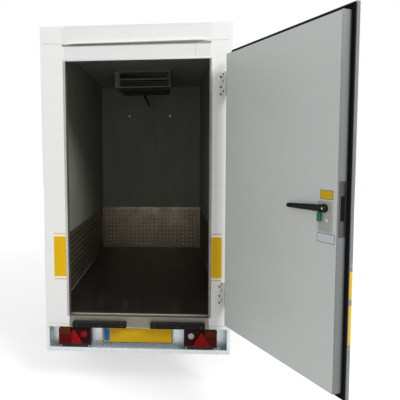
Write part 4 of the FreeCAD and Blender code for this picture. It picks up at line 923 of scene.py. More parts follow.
@dataclass(frozen=True)
class FinishBook:
    """Every finish of the trailer by name."""

    panel: Finish = SandwichSkin("panel", (0.84, 0.85, 0.83), 0.24, specular=0.4, grain=38.0, relief=0.0005,
                                 tone=0.012, dust=0.16)
    powder: Finish = Finish("white_profile", (0.86, 0.87, 0.85), 0.32, coat=0.25, relief=0.00005, tone=0.015,
                            dust=0.09)
    header: Finish = Finish("white_profile", (0.78, 0.785, 0.765), 0.42, specular=0.35, relief=0.00005, tone=0.015,
                            dust=0.06)
    hood: Finish = Finish("white_profile", (0.81, 0.82, 0.805), 0.4, specular=0.38, relief=0.00005, tone=0.012,
                          dust=0.05)
    cap: Finish = Finish("white_profile", (0.75, 0.765, 0.76), 0.4, specular=0.4, relief=0.00004, tone=0.012,
                         dust=0.05)
    # dark strip under the hood's lip: painted shadow
    hood_shadow_strip: Finish = Finish("seal", (0.32, 0.32, 0.27), 0.6, specular=0.2)
    trim: Finish = Brushed("white_profile", (0.41, 0.405, 0.38), 0.36, 0.7, tone=0.07, lines=(900.0, 900.0, 4.0))
    sill: Finish = Brushed("zinc", (0.22, 0.2, 0.16), 0.42, 0.5, specular=0.2, dust=0.2, dust_foot=0.0,
                           dust_reach=0.4, lines=(4.0, 700.0, 700.0), scratches=0.1)
    # dark copy of the trim's profile finish: painted shade on the right strip and the inner reveals
    reveal: Finish = Brushed("white_profile", (0.21, 0.21, 0.19), 0.45, 0.6, specular=0.2, tone=0.07,
                             lines=(900.0, 900.0, 4.0))
    sealant: Finish = Finish("white_profile", (0.5, 0.5, 0.48), 0.6, grain=600.0, dust=0.2)
    bead: Finish = Finish("panel", (0.2, 0.205, 0.17), 0.5, specular=0.15, grain=600.0)
    pale_bead: Finish = Finish("panel", (0.34, 0.34, 0.31), 0.6, specular=0.15, grain=600.0)
    deck: Finish = MeshBoard("floor_board", (0.017, 0.0138, 0.0115), 0.36, specular=0.42, relief=0.00014)
    tread: Finish = Brushed("tread_plate", (0.285, 0.235, 0.17), 0.4, 0.9, specular=0.2, tone=0.14,
                            lines=(260.0, 260.0, 20.0), scratches=0.05)
    tread_bar: Finish = Brushed("tread_plate", (0.34, 0.29, 0.225), 0.34, 0.9, specular=0.2,
                                lines=(260.0, 260.0, 20.0), scratches=0.05)
    # bright gold copy of the tread metal: painted glint on the front bars of one lean
    tread_glint: Finish = Brushed("tread_plate", (0.8, 0.74, 0.64), 0.26, 1.0, lines=(260.0, 260.0, 20.0),
                                 scratches=0.1)
    evaporator: Finish = Finish("evaporator_case", (0.22, 0.215, 0.19), 0.4, specular=0.3, grain=420.0, tone=0.05)
    # near-black fins: painted shade deep in the evaporator's mouth
    shaded_coil: Finish = Finish("evaporator_case", (0.012, 0.0125, 0.011), 0.5, specular=0.08, grain=700.0, tone=0.1)
    tray: Finish = Finish("evaporator_tray", (0.02, 0.021, 0.02), 0.45, specular=0.2, grain=420.0)
    foam: Finish = Finish("pipe_foam", (0.014, 0.014, 0.014), 0.8, specular=0.15, grain=900.0, relief=0.0002,
                          tone=0.12)
    unit: Finish = Finish("unit_cover", (0.82, 0.83, 0.82), 0.34, coat=0.2, grain=480.0, relief=0.0001, tone=0.02,
                          dust=0.15)
    wire: Finish = Finish("guard_wire", (0.025, 0.025, 0.027), 0.42, grain=700.0, tone=0.1, dust=0.15)
    zinc: Finish = Zinc("zinc", (0.47, 0.49, 0.485), 0.4, 0.75, tone=0.1, dust=0.28)
    bar_zinc: Finish = Zinc("zinc", (0.6, 0.645, 0.66), 0.36, 0.85, tone=0.1, dust=0.2)
    black: Finish = Finish("black_plastic", (0.014, 0.014, 0.015), 0.48, specular=0.2, grain=620.0, relief=0.00012,
                           tone=0.1, dust=0.12)
    red_lens: Finish = Lens("lamp", (0.15, 0.0015, 0.002), 0.16, specular=0.04, relief=0.0006)
    amber_lens: Finish = Lens("lamp", (0.16, 0.026, 0.001), 0.16, specular=0.04, relief=0.0006)
    dark_lens: Finish = Lens("lamp", (0.05, 0.002, 0.003), 0.18, coat_roughness=0.04, specular=0.04)
    clear_lens: Finish = Lens("lamp", (0.42, 0.42, 0.41), 0.12, 0.35, coat=0.5, relief=0.0007, dust=0.05)
    reflector: Finish = Lens("lamp", (0.42, 0.004, 0.007), 0.14, specular=0.04, cell=340.0)
    plate: Finish = Reflective("plate_yellow", (0.7, 0.42, 0.006), 0.35, tone=0.05, dust=0.02)
    plate_blue: Finish = Reflective("plate_yellow", (0.015, 0.15, 0.45), 0.35, tone=0.05, dust=0.02)
    yellow: Finish = Reflective("panel", (0.82, 0.48, 0.002), 0.3, specular=0.12, relief=0.00001, tone=0.02,
                                comb=420.0)
    # strong settle of cool grey lightens the buffer's level top: partly road dust, partly a painted sheen of the lit
    # top face
    buffer: Finish = Finish("buffer_rubber", (0.0075, 0.0075, 0.0078), 0.62, specular=0.12, relief=0.0003, tone=0.14,
                            dust=0.1, dust_colour=(0.06, 0.065, 0.066), dust_foot=0.02, dust_reach=0.16, settle=0.7)
    gaiter: Finish = Finish("gaiter_rubber", (0.02, 0.02, 0.021), 0.6, grain=500.0, relief=0.0003, tone=0.12,
                            dust=0.4)
    # near-black dish colour: painted shade in the post hinge's screw holes
    screw_hole_shade: Finish = Finish("hinge_white", (0.05, 0.05, 0.048), 0.5, specular=0.2, grain=400.0, tone=0.1)
    guard: Finish = Finish("guard_plastic", (0.02, 0.02, 0.021), 0.5, specular=0.25, grain=420.0, relief=0.0002,
                           tone=0.1, dust=0.4, dust_reach=0.7)
    cast: Finish = Finish("cast_black", (0.022, 0.022, 0.024), 0.42, grain=420.0, relief=0.0002, tone=0.1, dust=0.22,
                          rub=0.25)
    tyre: Finish = Finish("tyre", (0.017, 0.017, 0.0175), 0.72, specular=0.25, grain=460.0, relief=0.0004, tone=0.16,
                          dust=0.4, dust_reach=0.5)
    silver: Finish = Finish("rim_silver", (0.5, 0.51, 0.52), 0.34, 0.6, coat=0.3, grain=700.0, tone=0.05, dust=0.5,
                            dust_reach=0.6, rub=0.4)
    solid_rubber: Finish = Finish("jockey_tyre", (0.022, 0.022, 0.022), 0.66, grain=480.0, relief=0.0003, tone=0.14,
                                  dust=0.6, dust_reach=0.3)
    door_skin: Finish = Finish("door_skin", (0.84, 0.85, 0.83), 0.24, coat=0.5, grain=38.0, relief=0.0005, tone=0.012,
                               dust=0.16)
    door_lining: Finish = Finish("door_lining", (0.755, 0.797, 0.77), 0.36, coat=0.1, grain=46.0, relief=0.0004,
                                 tone=0.02, dust=0.1)
    edging: Finish = Finish("door_lining", (0.17, 0.178, 0.178), 0.42, tone=0.03, dust=0.1)
    seal: Finish = Finish("seal", (0.006, 0.0065, 0.0075), 0.6, specular=0.06, relief=0.0002, tone=0.12)
    stainless: Finish = Brushed("stainless", (0.105, 0.094, 0.085), 0.42, 0.8, specular=0.2, tone=0.12,
                                lines=(700.0, 700.0, 6.0), scratches=0.03)
    bright: Finish = Brushed("stainless", (0.6, 0.6, 0.58), 0.28, 1.0, relief=0.00001, tone=0.06, dust=0.2,
                             lines=(300.0, 300.0, 300.0))
    nosing: Finish = Brushed("zinc", (0.85, 0.86, 0.84), 0.35, 0.8, relief=0.00001, tone=0.06,
                             lines=(4.0, 300.0, 300.0))
    escutcheon: Finish = Finish("escutcheon_grey", (0.42, 0.46, 0.41), 0.38, coat=0.2, tone=0.04)
    knob: Finish = Finish("escutcheon_grey", (0.014, 0.18, 0.09), 0.34, coat=0.15, specular=0.25, grain=400.0)
    white_dot: Finish = Finish("escutcheon_grey", (0.86, 0.87, 0.86), 0.3, coat=0.5, grain=400.0, tone=0.02)
    hinge: Finish = Finish("hinge_white", (0.8, 0.81, 0.79), 0.32, coat=0.3, grain=480.0, tone=0.03, dust=0.2,
                           rub=0.35)
    handle: Finish = Finish("black_plastic", (0.0055, 0.006, 0.006), 0.4, coat=0.05, specular=0.12, grain=620.0,
                            relief=0.00008)
    patch_yellow: Finish = Finish("escutcheon_grey", (0.85, 0.54, 0.008), 0.4, specular=0.15, grain=300.0, tone=0.03)
    patch_white: Finish = Finish("escutcheon_grey", (0.72, 0.74, 0.75), 0.35, coat=0.4, grain=300.0, tone=0.02)
    patch_rim: Finish = Finish("escutcheon_grey", (0.1, 0.1, 0.08), 0.4, grain=300.0, tone=0.03)
    marker_amber: Finish = Lens("marker", (0.55, 0.16, 0.01), 0.16, coat=1.0, relief=0.0005, dust=0.1)
    marker_clear: Finish = Lens("marker", (0.7, 0.7, 0.68), 0.14, 0.2, coat=1.0, relief=0.0005, dust=0.1)


BOOK = FinishBook()


# ---------------------------------------------------------------- the insulated box
@dataclass
class InsulatedBox:
    """Panels and profiles of the box, and what is fastened to its rear frame."""

    trim_face: float = 0.0155
    trim_thick: float = 0.0014
    reveal: float = 0.06
    hood_rise: float = 0.088
    lip_radius: float = 0.003
    shadow_strip_width: float = 0.012
    hood_steps: int = 14
    hood_stand: float = 0.0006
    hood_fade: float = 0.11
    nosing_skin: float = 0.003
    nosing_rise: float = 0.0055
    hood_tilt: float = 0.009
    hood_spans: int = 12
    seam_x: float = 0.429
    seam_width: float = 0.003
    seam_stand: float = 0.0008
    seam_end: float = 0.025
    seam_lap: float = 0.004
    hood_line: float = 0.009
    foot_line: float = 0.024
    rivet_radius: float = 0.0038
    rivet_height: float = 0.0009
    rivet_pitch: float = 0.0862
    rivet_inset: float = 0.062
    rivet_ends: tuple[float, float] = (0.25, 0.1)
    foot_rivets_left: tuple[float, float] = (0.052, 0.142)
    foot_rivets_right: tuple[float, float] = (0.045, 0.125)
    foot_rivet_rises: tuple[float, float] = (0.085, 0.165)
    band: tuple[float, float] = (0.455, 0.755)
    pinstripes: tuple[float, float] = (0.436, 0.777)
    pinstripe_height: float = 0.007
    band_inset: float = 0.071
    film: float = 0.0003
    skirting: float = 0.058
    skirting_thick: float = 0.0016
    skirting_end: float = 0.02
    head_strip_share: float = 0.6
    side_rivet_pitch: float = 0.122
    side_rivet_ends: tuple[float, float] = (0.06, 0.05)
    front_rivet_ends: tuple[float, float] = (0.08, 0.05)

    def build(self) -> None:
        """Builds and dresses the whole box."""
        self.dress_panels()
        self.add_opening_trim()
        self.add_hood()
        self.add_seams()
        self.add_rivets()
        self.add_bands()
        self.add_skirting()

    def dress_panels(self) -> None:
        """Finishes the panels and rounds the edges of the profiles."""
        for node in ("floor_panel", "side_walls", "front_wall", "roof_panel"):
            dressed(node, BOOK.panel)
        refine_all([
            ("roof_rails", BOOK.cap, 0.0015),
            ("front_corner_posts", BOOK.powder, 0.0015),
            ("rear_posts", BOOK.powder, 0.0015),
            ("rear_header", BOOK.header, 0.0008),
            ("rear_sill", BOOK.sill, 0.0008),
        ])

    def opening(self) -> tuple[float, float, float, float]:
        """Left, right, bottom and top of the door opening."""
        low, high = corners_of("rear_header")
        return low[0], high[0], corners_of("rear_sill")[1][2], low[2]

    def add_opening_trim(self) -> None:
        """Angles round the opening, paler on top and dark on the right and in the reveals as painted light and shade,
        and the nosing at the foot of the floor board's edge.
        """
        left, right, foot, top = self.opening()
        rear = corners_of("rear_header")[0][1]
        thick, face, deep = self.trim_thick, self.trim_face, rear + self.reveal
        bars = [
            ((left - face, rear - thick, foot), (left, rear, top)),
            ((right, rear - thick, foot), (right + face, rear, top)),
            ((left - face, rear - thick, top), (right + face, rear, top + face)),
            ((left, rear - thick, foot), (left + thick, deep, top)),
            ((right - thick, rear - thick, foot), (right, deep, top)),
            ((left, rear - thick, top - thick), (right, deep, top)),
        ]
        shapes = [rounded_box(low, high, 0.0006, 2) for low, high in bars]
        # top strip in the paler cap finish is painted light; right strip and inner reveals in the dark reveal finish
        # are painted shade
        add_mixed("opening_trim", [(shapes[0], BOOK.trim), (shapes[2], BOOK.cap),
                                   (joined([shapes[1], *shapes[3:]]), BOOK.reveal)])
        deck = corners_of("floor_deck")[0][1]
        nose = rounded_box((left + thick, deck - self.nosing_skin, foot),
                           (right - thick, deck, foot + self.nosing_rise), 0.0005, 2)
        add_piece("ledge_nosing", nose, BOOK.nosing)

    def add_hood(self) -> None:
        """The rain hood: a sheet that hangs almost flat on the header and swings out to a rolled lip.

        At s down the sheet it stands stand + swing(x) reach (0.02 s + 0.98 s^12) off the header;
        swing(x) = t^2 (3 - 2 t) rises from 0 at either end to 1 within the fade, so that the ends
        lie flat. The lip is a half circle, and the inner side runs back up behind the outer. The
        lip climbs by the tilt from left to right, over a dark strip that paints the lip's shadow.
        """
        low, high = corners_of("rain_gutter")
        rear, lip = high[1], self.lip_radius
        reach, top = rear - low[1] - lip - self.hood_stand, high[2] + self.hood_rise
        s = np.linspace(0, 1, self.hood_steps) ** 0.6
        near = self.hood_fade * np.linspace(0, 1, self.hood_spans)
        stations = np.concatenate([low[0] + near, high[0] - near[::-1]])
        t = np.clip(np.minimum(stations - low[0], high[0] - stations) / self.hood_fade, 0, 1)
        swing = (t * t * (3 - 2 * t))[:, None]
        bend = np.linspace(math.pi, 2 * math.pi, 7)[1:-1]
        out = -self.hood_stand - reach * swing * (0.02 * s + 0.98 * s ** 12)
        roll = out[:, -1:] + lip * (1 + np.cos(bend))
        back = np.minimum(out[:, ::-1] + 2 * lip, 0.0)
        slant = self.hood_tilt * (stations - low[0]) / (high[0] - low[0])
        fall = top + (low[2] + lip + slant[:, None] - top) * s
        level = np.concatenate([fall, fall[:, -1:] + lip * np.sin(bend), fall[:, ::-1]], axis=1)
        off = np.concatenate([out, np.minimum(roll, 0.001), back], axis=1)
        rows = np.stack([np.broadcast_to(stations[:, None], off.shape), rear + off, level], axis=-1)
        rows = np.concatenate([capped(rows[:1]), rows, capped(rows[-1:])])
        # dark strip just under the lip: it paints the lip's shadow on the header
        strip = rounded_box((low[0] + 0.003, rear - 0.0015, low[2] - self.shadow_strip_width),
                            (high[0] - 0.003, rear + 0.0005, low[2] + 0.004), 0.0006, 2)
        strip = strip.turned(about((0, 1, 0), self.hood_tilt / (low[0] - high[0])), (low[0], 0.0, low[2]))
        add_mixed("rain_hood", [(loft(rows), BOOK.hood), (strip, BOOK.hood_shadow_strip)], instead_of=["rain_gutter"])

    def add_seams(self) -> None:
        """Sealed joints: down the header, beside the hood's lip, and across the foot of each post."""
        low, high = corners_of("rear_header")
        rear, foot = low[1], corners_of("rear_posts")[0][2]
        outer = corners_of("rear_posts")[1][0]
        half, stand = self.seam_width / 2, self.seam_stand
        gutter_low, gutter_high = corners_of("rain_gutter")
        bars = [((self.seam_x - half, rear - stand, low[2] + self.trim_face),
                 (self.seam_x + half, rear + stand, gutter_low[2] + 0.01))]
        end = outer - self.seam_end
        for z, left_end, right_end in ((foot + self.foot_line, low[0] - self.seam_lap, high[0] + self.seam_lap),
                                       (gutter_low[2] + self.hood_line, gutter_low[0], gutter_high[0])):
            bars += [((x0, rear - stand, z - half), (x1, rear + stand, z + half))
                     for x0, x1 in ((-end, left_end), (right_end, end))]
        add_piece("frame_seams", blocks(bars, 0.0006), BOOK.sealant)

    def add_rivets(self) -> None:
        """Rivets down both posts, and a pair at each side of each post's foot."""
        low, high = corners_of("rear_posts")
        rear = low[1]
        column = np.arange(low[2] + self.rivet_ends[0], high[2] - self.rivet_ends[1], self.rivet_pitch)
        head = screw_head(self.rivet_radius, self.rivet_height).fitted(Facing.REAR)
        left, right = low[0] + self.rivet_inset, high[0] - self.rivet_inset
        across = np.concatenate([low[0] + np.array(self.foot_rivets_left), high[0] - np.array(self.foot_rivets_right)])
        foot = lattice(across, (rear,), low[2] + np.array(self.foot_rivet_rises))
        places = np.vstack([lattice((left, right), (rear,), column), foot])
        add_piece("post_rivets", repeated(head, places), BOOK.powder)

    def add_bands(self) -> None:
        """Yellow bands on both posts, each between two pinstripes."""
        left, right, _, _ = self.opening()
        low, high = corners_of("rear_posts")
        spans = ((low[0] + self.band_inset, left - self.trim_face - 0.001),
                 (right + self.trim_face + 0.001, high[0] - self.band_inset + 0.006))
        half = self.pinstripe_height / 2
        rises = [self.band] + [(z - half, z + half) for z in self.pinstripes]
        films = blocks((((x0, low[1] - self.film, z0), (x1, low[1] + self.film, z1))
                        for x0, x1 in spans for z0, z1 in rises), FILM_EDGE, 1)
        add_piece("post_bands", films, BOOK.yellow)

    def add_skirting(self) -> None:
        """Aluminium strips along the foot and head of the sides and front, with their rivets."""
        low, high = corners_of("side_walls")
        front = corners_of("front_wall")[1][1]
        back = corners_of("rear_posts")[1][1]
        thick, tall = self.skirting_thick, self.skirting
        bars, heads = [], []
        (near, far), (left, right), end = self.side_rivet_ends, self.front_rivet_ends, self.skirting_end
        along = np.arange(back + near, front - far, self.side_rivet_pitch)
        across = np.arange(low[0] + left, high[0] - right, self.side_rivet_pitch)
        head = screw_head(self.rivet_radius, self.rivet_height)
        for foot, rise in ((low[2], tall), (high[2] - tall * self.head_strip_share, tall * self.head_strip_share)):
            middle = (foot + rise / 2,)
            for side, facing in ((-1, Facing.LEFT), (1, Facing.RIGHT)):
                wall = side * high[0]
                face = wall + side * thick
                bars.append(((min(wall, face), back, foot), (max(wall, face), front - end, foot + rise)))
                heads.append(studs(head, facing, (face,), along, middle))
            bars.append(((low[0] + end, front, foot), (high[0] - end, front + thick, foot + rise)))
            heads.append(studs(head, Facing.FRONT, across, (front + thick,), middle))
        add_mixed("side_skirting", [(blocks(bars, 0.0007), BOOK.cap), (joined(heads), BOOK.trim)])


@dataclass
class LoadSpace:
    """Lining of the load space: kick plates with their raised bars, beads and wall joints."""

    plate_thick: float = 0.003
    pitch: float = 0.0346
    bars_in_group: int = 5
    bar_length: float = 0.025
    bar_width: float = 0.0042
    bar_height: float = 0.0016
    bar_gap: float = 0.0054
    bead_radius: float = 0.0055
    corner_bead: float = 0.009
    seam_x: float = 0.053
    seam_half: float = 0.0035
    screw_drop: float = 0.018
    side_screw_end: float = 0.12
    front_screw_end: float = 0.1
    side_screws: int = 8
    front_screws: int = 5
    bolt_places: tuple[tuple[float, float], ...] = ((-0.267, 1.846), (0.242, 1.846))

    def build(self) -> None:
        """Builds and dresses the lining."""
        dressed("floor_deck", BOOK.deck)
        refined("tread_plate_lining", BOOK.tread)
        self.add_tread_bars()
        self.add_beads()
        self.add_bolts()

    def bar(self) -> Shape:
        """One raised bar: a six-cornered foot under a two-ended ridge."""
        half, side, high = self.bar_length / 2, self.bar_width / 2, self.bar_height
        points = np.array([[-half, 0, 0], [-half * 0.55, -side, 0], [half * 0.55, -side, 0], [half, 0, 0],
                           [half * 0.55, side, 0], [-half * 0.55, side, 0],
                           [-half * 0.6, 0, high], [half * 0.6, 0, high]])
        faces = np.array([[0, 1, 6, -1], [1, 2, 7, 6], [2, 3, 7, -1], [3, 4, 7, -1], [4, 5, 6, 7],
                          [5, 0, 6, -1]])
        return Shape(points, faces)

    def bar_field(self, width: float, height: float) -> list[Shape]:
        """Groups of bars on a lattice turned 45 degrees, each group square to its neighbours.

        Group (i, j), where i + j is even, stands at (i, j) pitch / root 2; its bars lie along one
        diagonal where i is even and along the other where it is odd.

        Args:
            width: width of the sheet.
            height: height of the sheet.

        Returns:
            The bars of either lean, flat on z = 0, with the sheet's lower left corner at the origin.
        """
        step = self.pitch / math.sqrt(2)
        columns = np.arange(1, int(width / step))
        rows = np.arange(1, int(height / step))
        grid = lattice(columns, rows).astype(int)
        grid = grid[(grid.sum(axis=1) % 2) == 0]
        margin = self.bar_length * 0.42
        places = grid * step
        inside = ((places > margin) & (places < np.array([width, height]) - margin)).all(axis=1)
        grid, places = grid[inside], places[inside]
        lean = grid[:, 0] % 2
        offsets = (np.arange(self.bars_in_group) - (self.bars_in_group - 1) / 2) * self.bar_gap
        fields = []
        for turn, chosen in ((45, lean == 0), (-45, lean == 1)):
            one = joined(self.bar().moved(y=offset) for offset in offsets).turned(about((0, 0, 1), turn))
            fields.append(repeated(one, np.column_stack([places[chosen], np.zeros(chosen.sum())])))
        return fields

    def add_tread_bars(self) -> None:
        """The bars of the front sheet, where those of one lean carry a bright gold finish that paints their glint, and
        of both side sheets.
        """
        low, high = corners_of("tread_plate_lining")
        thick = self.plate_thick
        width, depth, height = high[0] - low[0], high[1] - low[1], high[2] - low[2]
        # bars of one lean take the painted glint finish, the other lean the plain bar finish
        finishes = (BOOK.tread_glint, BOOK.tread_bar)
        front = self.bar_field(width - 2 * thick, height)
        corner = (low[0] + thick, high[1] - thick, low[2])
        add_mixed("front_tread_bars", [(field_shape.fitted(Facing.REAR, corner), finish)
                                       for field_shape, finish in zip(front, finishes)])
        side = self.bar_field(depth - thick, height)
        sheets = ((Facing.RIGHT, (low[0] + thick, low[1], low[2])),
                  (Facing.LEFT, (high[0] - thick, high[1] - thick, low[2])))
        add_piece("side_tread_bars", joined(field_shape.fitted(*sheet) for sheet in sheets
                                            for field_shape in side), BOOK.tread_bar)

    def add_beads(self) -> None:
        """Sealing beads: where the plates meet the floor, up the corners, under the ceiling and down the front seam."""
        low, high = corners_of("tread_plate_lining")
        ceiling = corners_of("roof_panel")[0][2]
        thick, r = self.plate_thick, self.bead_radius
        x0, x1, y0, y1 = low[0] + thick, high[0] - thick, low[1], high[1] - thick
        z = low[2]
        lines = [((x0, y0, z), (x0, y1, z), r * 0.7), ((x1, y0, z), (x1, y1, z), r * 0.7),
                 ((x0, y1, z), (x0, y1, high[2]), r * 0.6), ((x1, y1, z), (x1, y1, high[2]), r * 0.6)]
        light = joined(rod(a, b, radius, 10, (0.3, 1, 0.2)) for a, b, radius in lines)
        walls, front, c = (low[0], high[0]), high[1], self.corner_bead
        dark = [rod((x, front, high[2]), (x, front, ceiling), c, up=(0, 1, 0)) for x in walls]
        dark.append(rod((x0, y1, z), (x1, y1, z), r, 10))
        dark += [rod((x, low[1], ceiling), (x, front, ceiling), c) for x in walls]
        dark.append(rod((walls[0], front, ceiling), (walls[1], front, ceiling), c))
        dark.append(rounded_box((self.seam_x - self.seam_half, front - 0.0008, high[2]),
                                (self.seam_x + self.seam_half, front + 0.001, ceiling), 0.0005, 1))
        add_piece("floor_beads", light, BOOK.pale_bead)
        add_piece("wall_beads", joined(dark), BOOK.bead)

    def add_bolts(self) -> None:
        """Two plated bolts high in the front wall and screws along the top of the kick plates."""
        low, high = corners_of("tread_plate_lining")
        front = high[1]
        bolts = repeated(hex_bolt(0.008, 0.006).fitted(Facing.REAR),
                         np.array([(x, front, z) for x, z in self.bolt_places]))
        screw = screw_head(0.0055, 0.002)
        top, thick = (high[2] - self.screw_drop,), self.plate_thick
        along = np.linspace(low[1] + self.side_screw_end, high[1] - self.side_screw_end, self.side_screws)
        across = np.linspace(low[0] + self.front_screw_end, high[0] - self.front_screw_end, self.front_screws)
        screws = [studs(screw, Facing.REAR, across, (front - thick,), top),
                  studs(screw, Facing.RIGHT, (low[0] + thick,), along, top),
                  studs(screw, Facing.LEFT, (high[0] - thick,), along, top)]
        add_piece("lining_bolts", joined([bolts, *screws]), BOOK.bright)


@dataclass
class Cooling:
    """The evaporator under the ceiling and the condensing unit on the front wall."""

    end_cap: float = 0.037
    screw_radius: float = 0.0045
    fin_pitch: float = 0.009
    fin_thick: float = 0.0012
    fin_depth: float = 0.02
    fin_inset: float = 0.045
    cap_thick: float = 0.0012
    cap_screw_inset: float = 0.022
    cover_screw: float = 0.0065
    cover_inset: float = 0.035
    service_panel: tuple[float, float] = (0.19, 0.32)
    vent_pitch: float = 0.022
    vent_height: float = 0.008
    vent_margin: float = 0.12

    def build(self) -> None:
        """Builds and dresses both units."""
        refine_all([
            ("evaporator_casing", BOOK.evaporator, 0.0015),
            ("evaporator_tray", BOOK.tray, 0.003),
            ("evaporator_pipes", BOOK.foam, 0.0),
            ("condenser_wall_rails", BOOK.zinc, 0.001),
            ("condenser_housing", BOOK.unit, 0.0015),
            ("fan_guard", BOOK.wire, 0.0),
        ])
        refined("condenser_fan", BOOK.black, 0.0006, Body.FAN)
        self.add_evaporator_details()
        self.add_unit_details()

    def add_evaporator_details(self) -> None:
        """Cooling fins deep in the mouth, coloured near black as painted shade, and end caps with their screws."""
        low, high = corners_of("evaporator_casing")
        back, cap, inset = low[1], self.cap_thick, self.cap_screw_inset
        ends = blocks((((x0, back - cap, low[2] + 0.002), (x1, back + 0.004, high[2] - 0.004)) for x0, x1 in
                       ((low[0] + 0.001, low[0] + self.end_cap), (high[0] - 0.012, high[0] - 0.001))), 0.001)
        rises = (low[2] + inset, (low[2] + high[2]) / 2, high[2] - inset)
        screws = studs(screw_head(self.screw_radius, 0.002), Facing.REAR, (low[0] + self.end_cap / 2,),
                       (back - cap,), rises)
        fin = rounded_box((-self.fin_thick / 2, 0, 0),
                          (self.fin_thick / 2, self.fin_depth, high[2] - low[2] - 0.03), 0.0004, 1)
        xs = np.arange(low[0] + 0.06, high[0] - 0.03, self.fin_pitch)
        # the fins' near-black finish paints the shade of the mouth
        shaded_coil = repeated(fin, lattice(xs, (back + self.fin_inset,), (low[2] + 0.012,)))
        add_mixed("evaporator_trim", [(ends, BOOK.evaporator), (screws, BOOK.bright), (shaded_coil, BOOK.shaded_coil)])

    def add_unit_details(self) -> None:
        """Cover screws, a service panel on the right and a column of vent slots on the left."""
        low, high = corners_of("condenser_housing")
        face, inset = high[1], self.cover_inset
        screw = screw_head(self.cover_screw, 0.003)
        rises = (low[2] + inset, high[2] - inset)
        front = studs(screw, Facing.FRONT, (low[0] + inset, (low[0] + high[0]) / 2, high[0] - inset), (face,), rises)
        sides = side_studs("condenser_housing", screw, (low[1] + inset, face - 2 * inset), rises)
        panel = slab(rounded_outline(*self.service_panel, 0.012), 0.0025, 0.0015).fitted(
            Facing.RIGHT, (high[0], (low[1] + face) / 2, (low[2] + high[2]) / 2))
        levels = np.arange(low[2] + self.vent_margin, high[2] - self.vent_margin, self.vent_pitch)
        vents = blocks((((low[0] - 0.002, low[1] + 0.05, z), (low[0] + 0.002, face - 0.07, z + self.vent_height))
                        for z in levels), 0.0018)
        add_mixed("unit_fittings", [(panel, BOOK.unit), (vents, BOOK.black), (joined([front, sides]), BOOK.bright)])


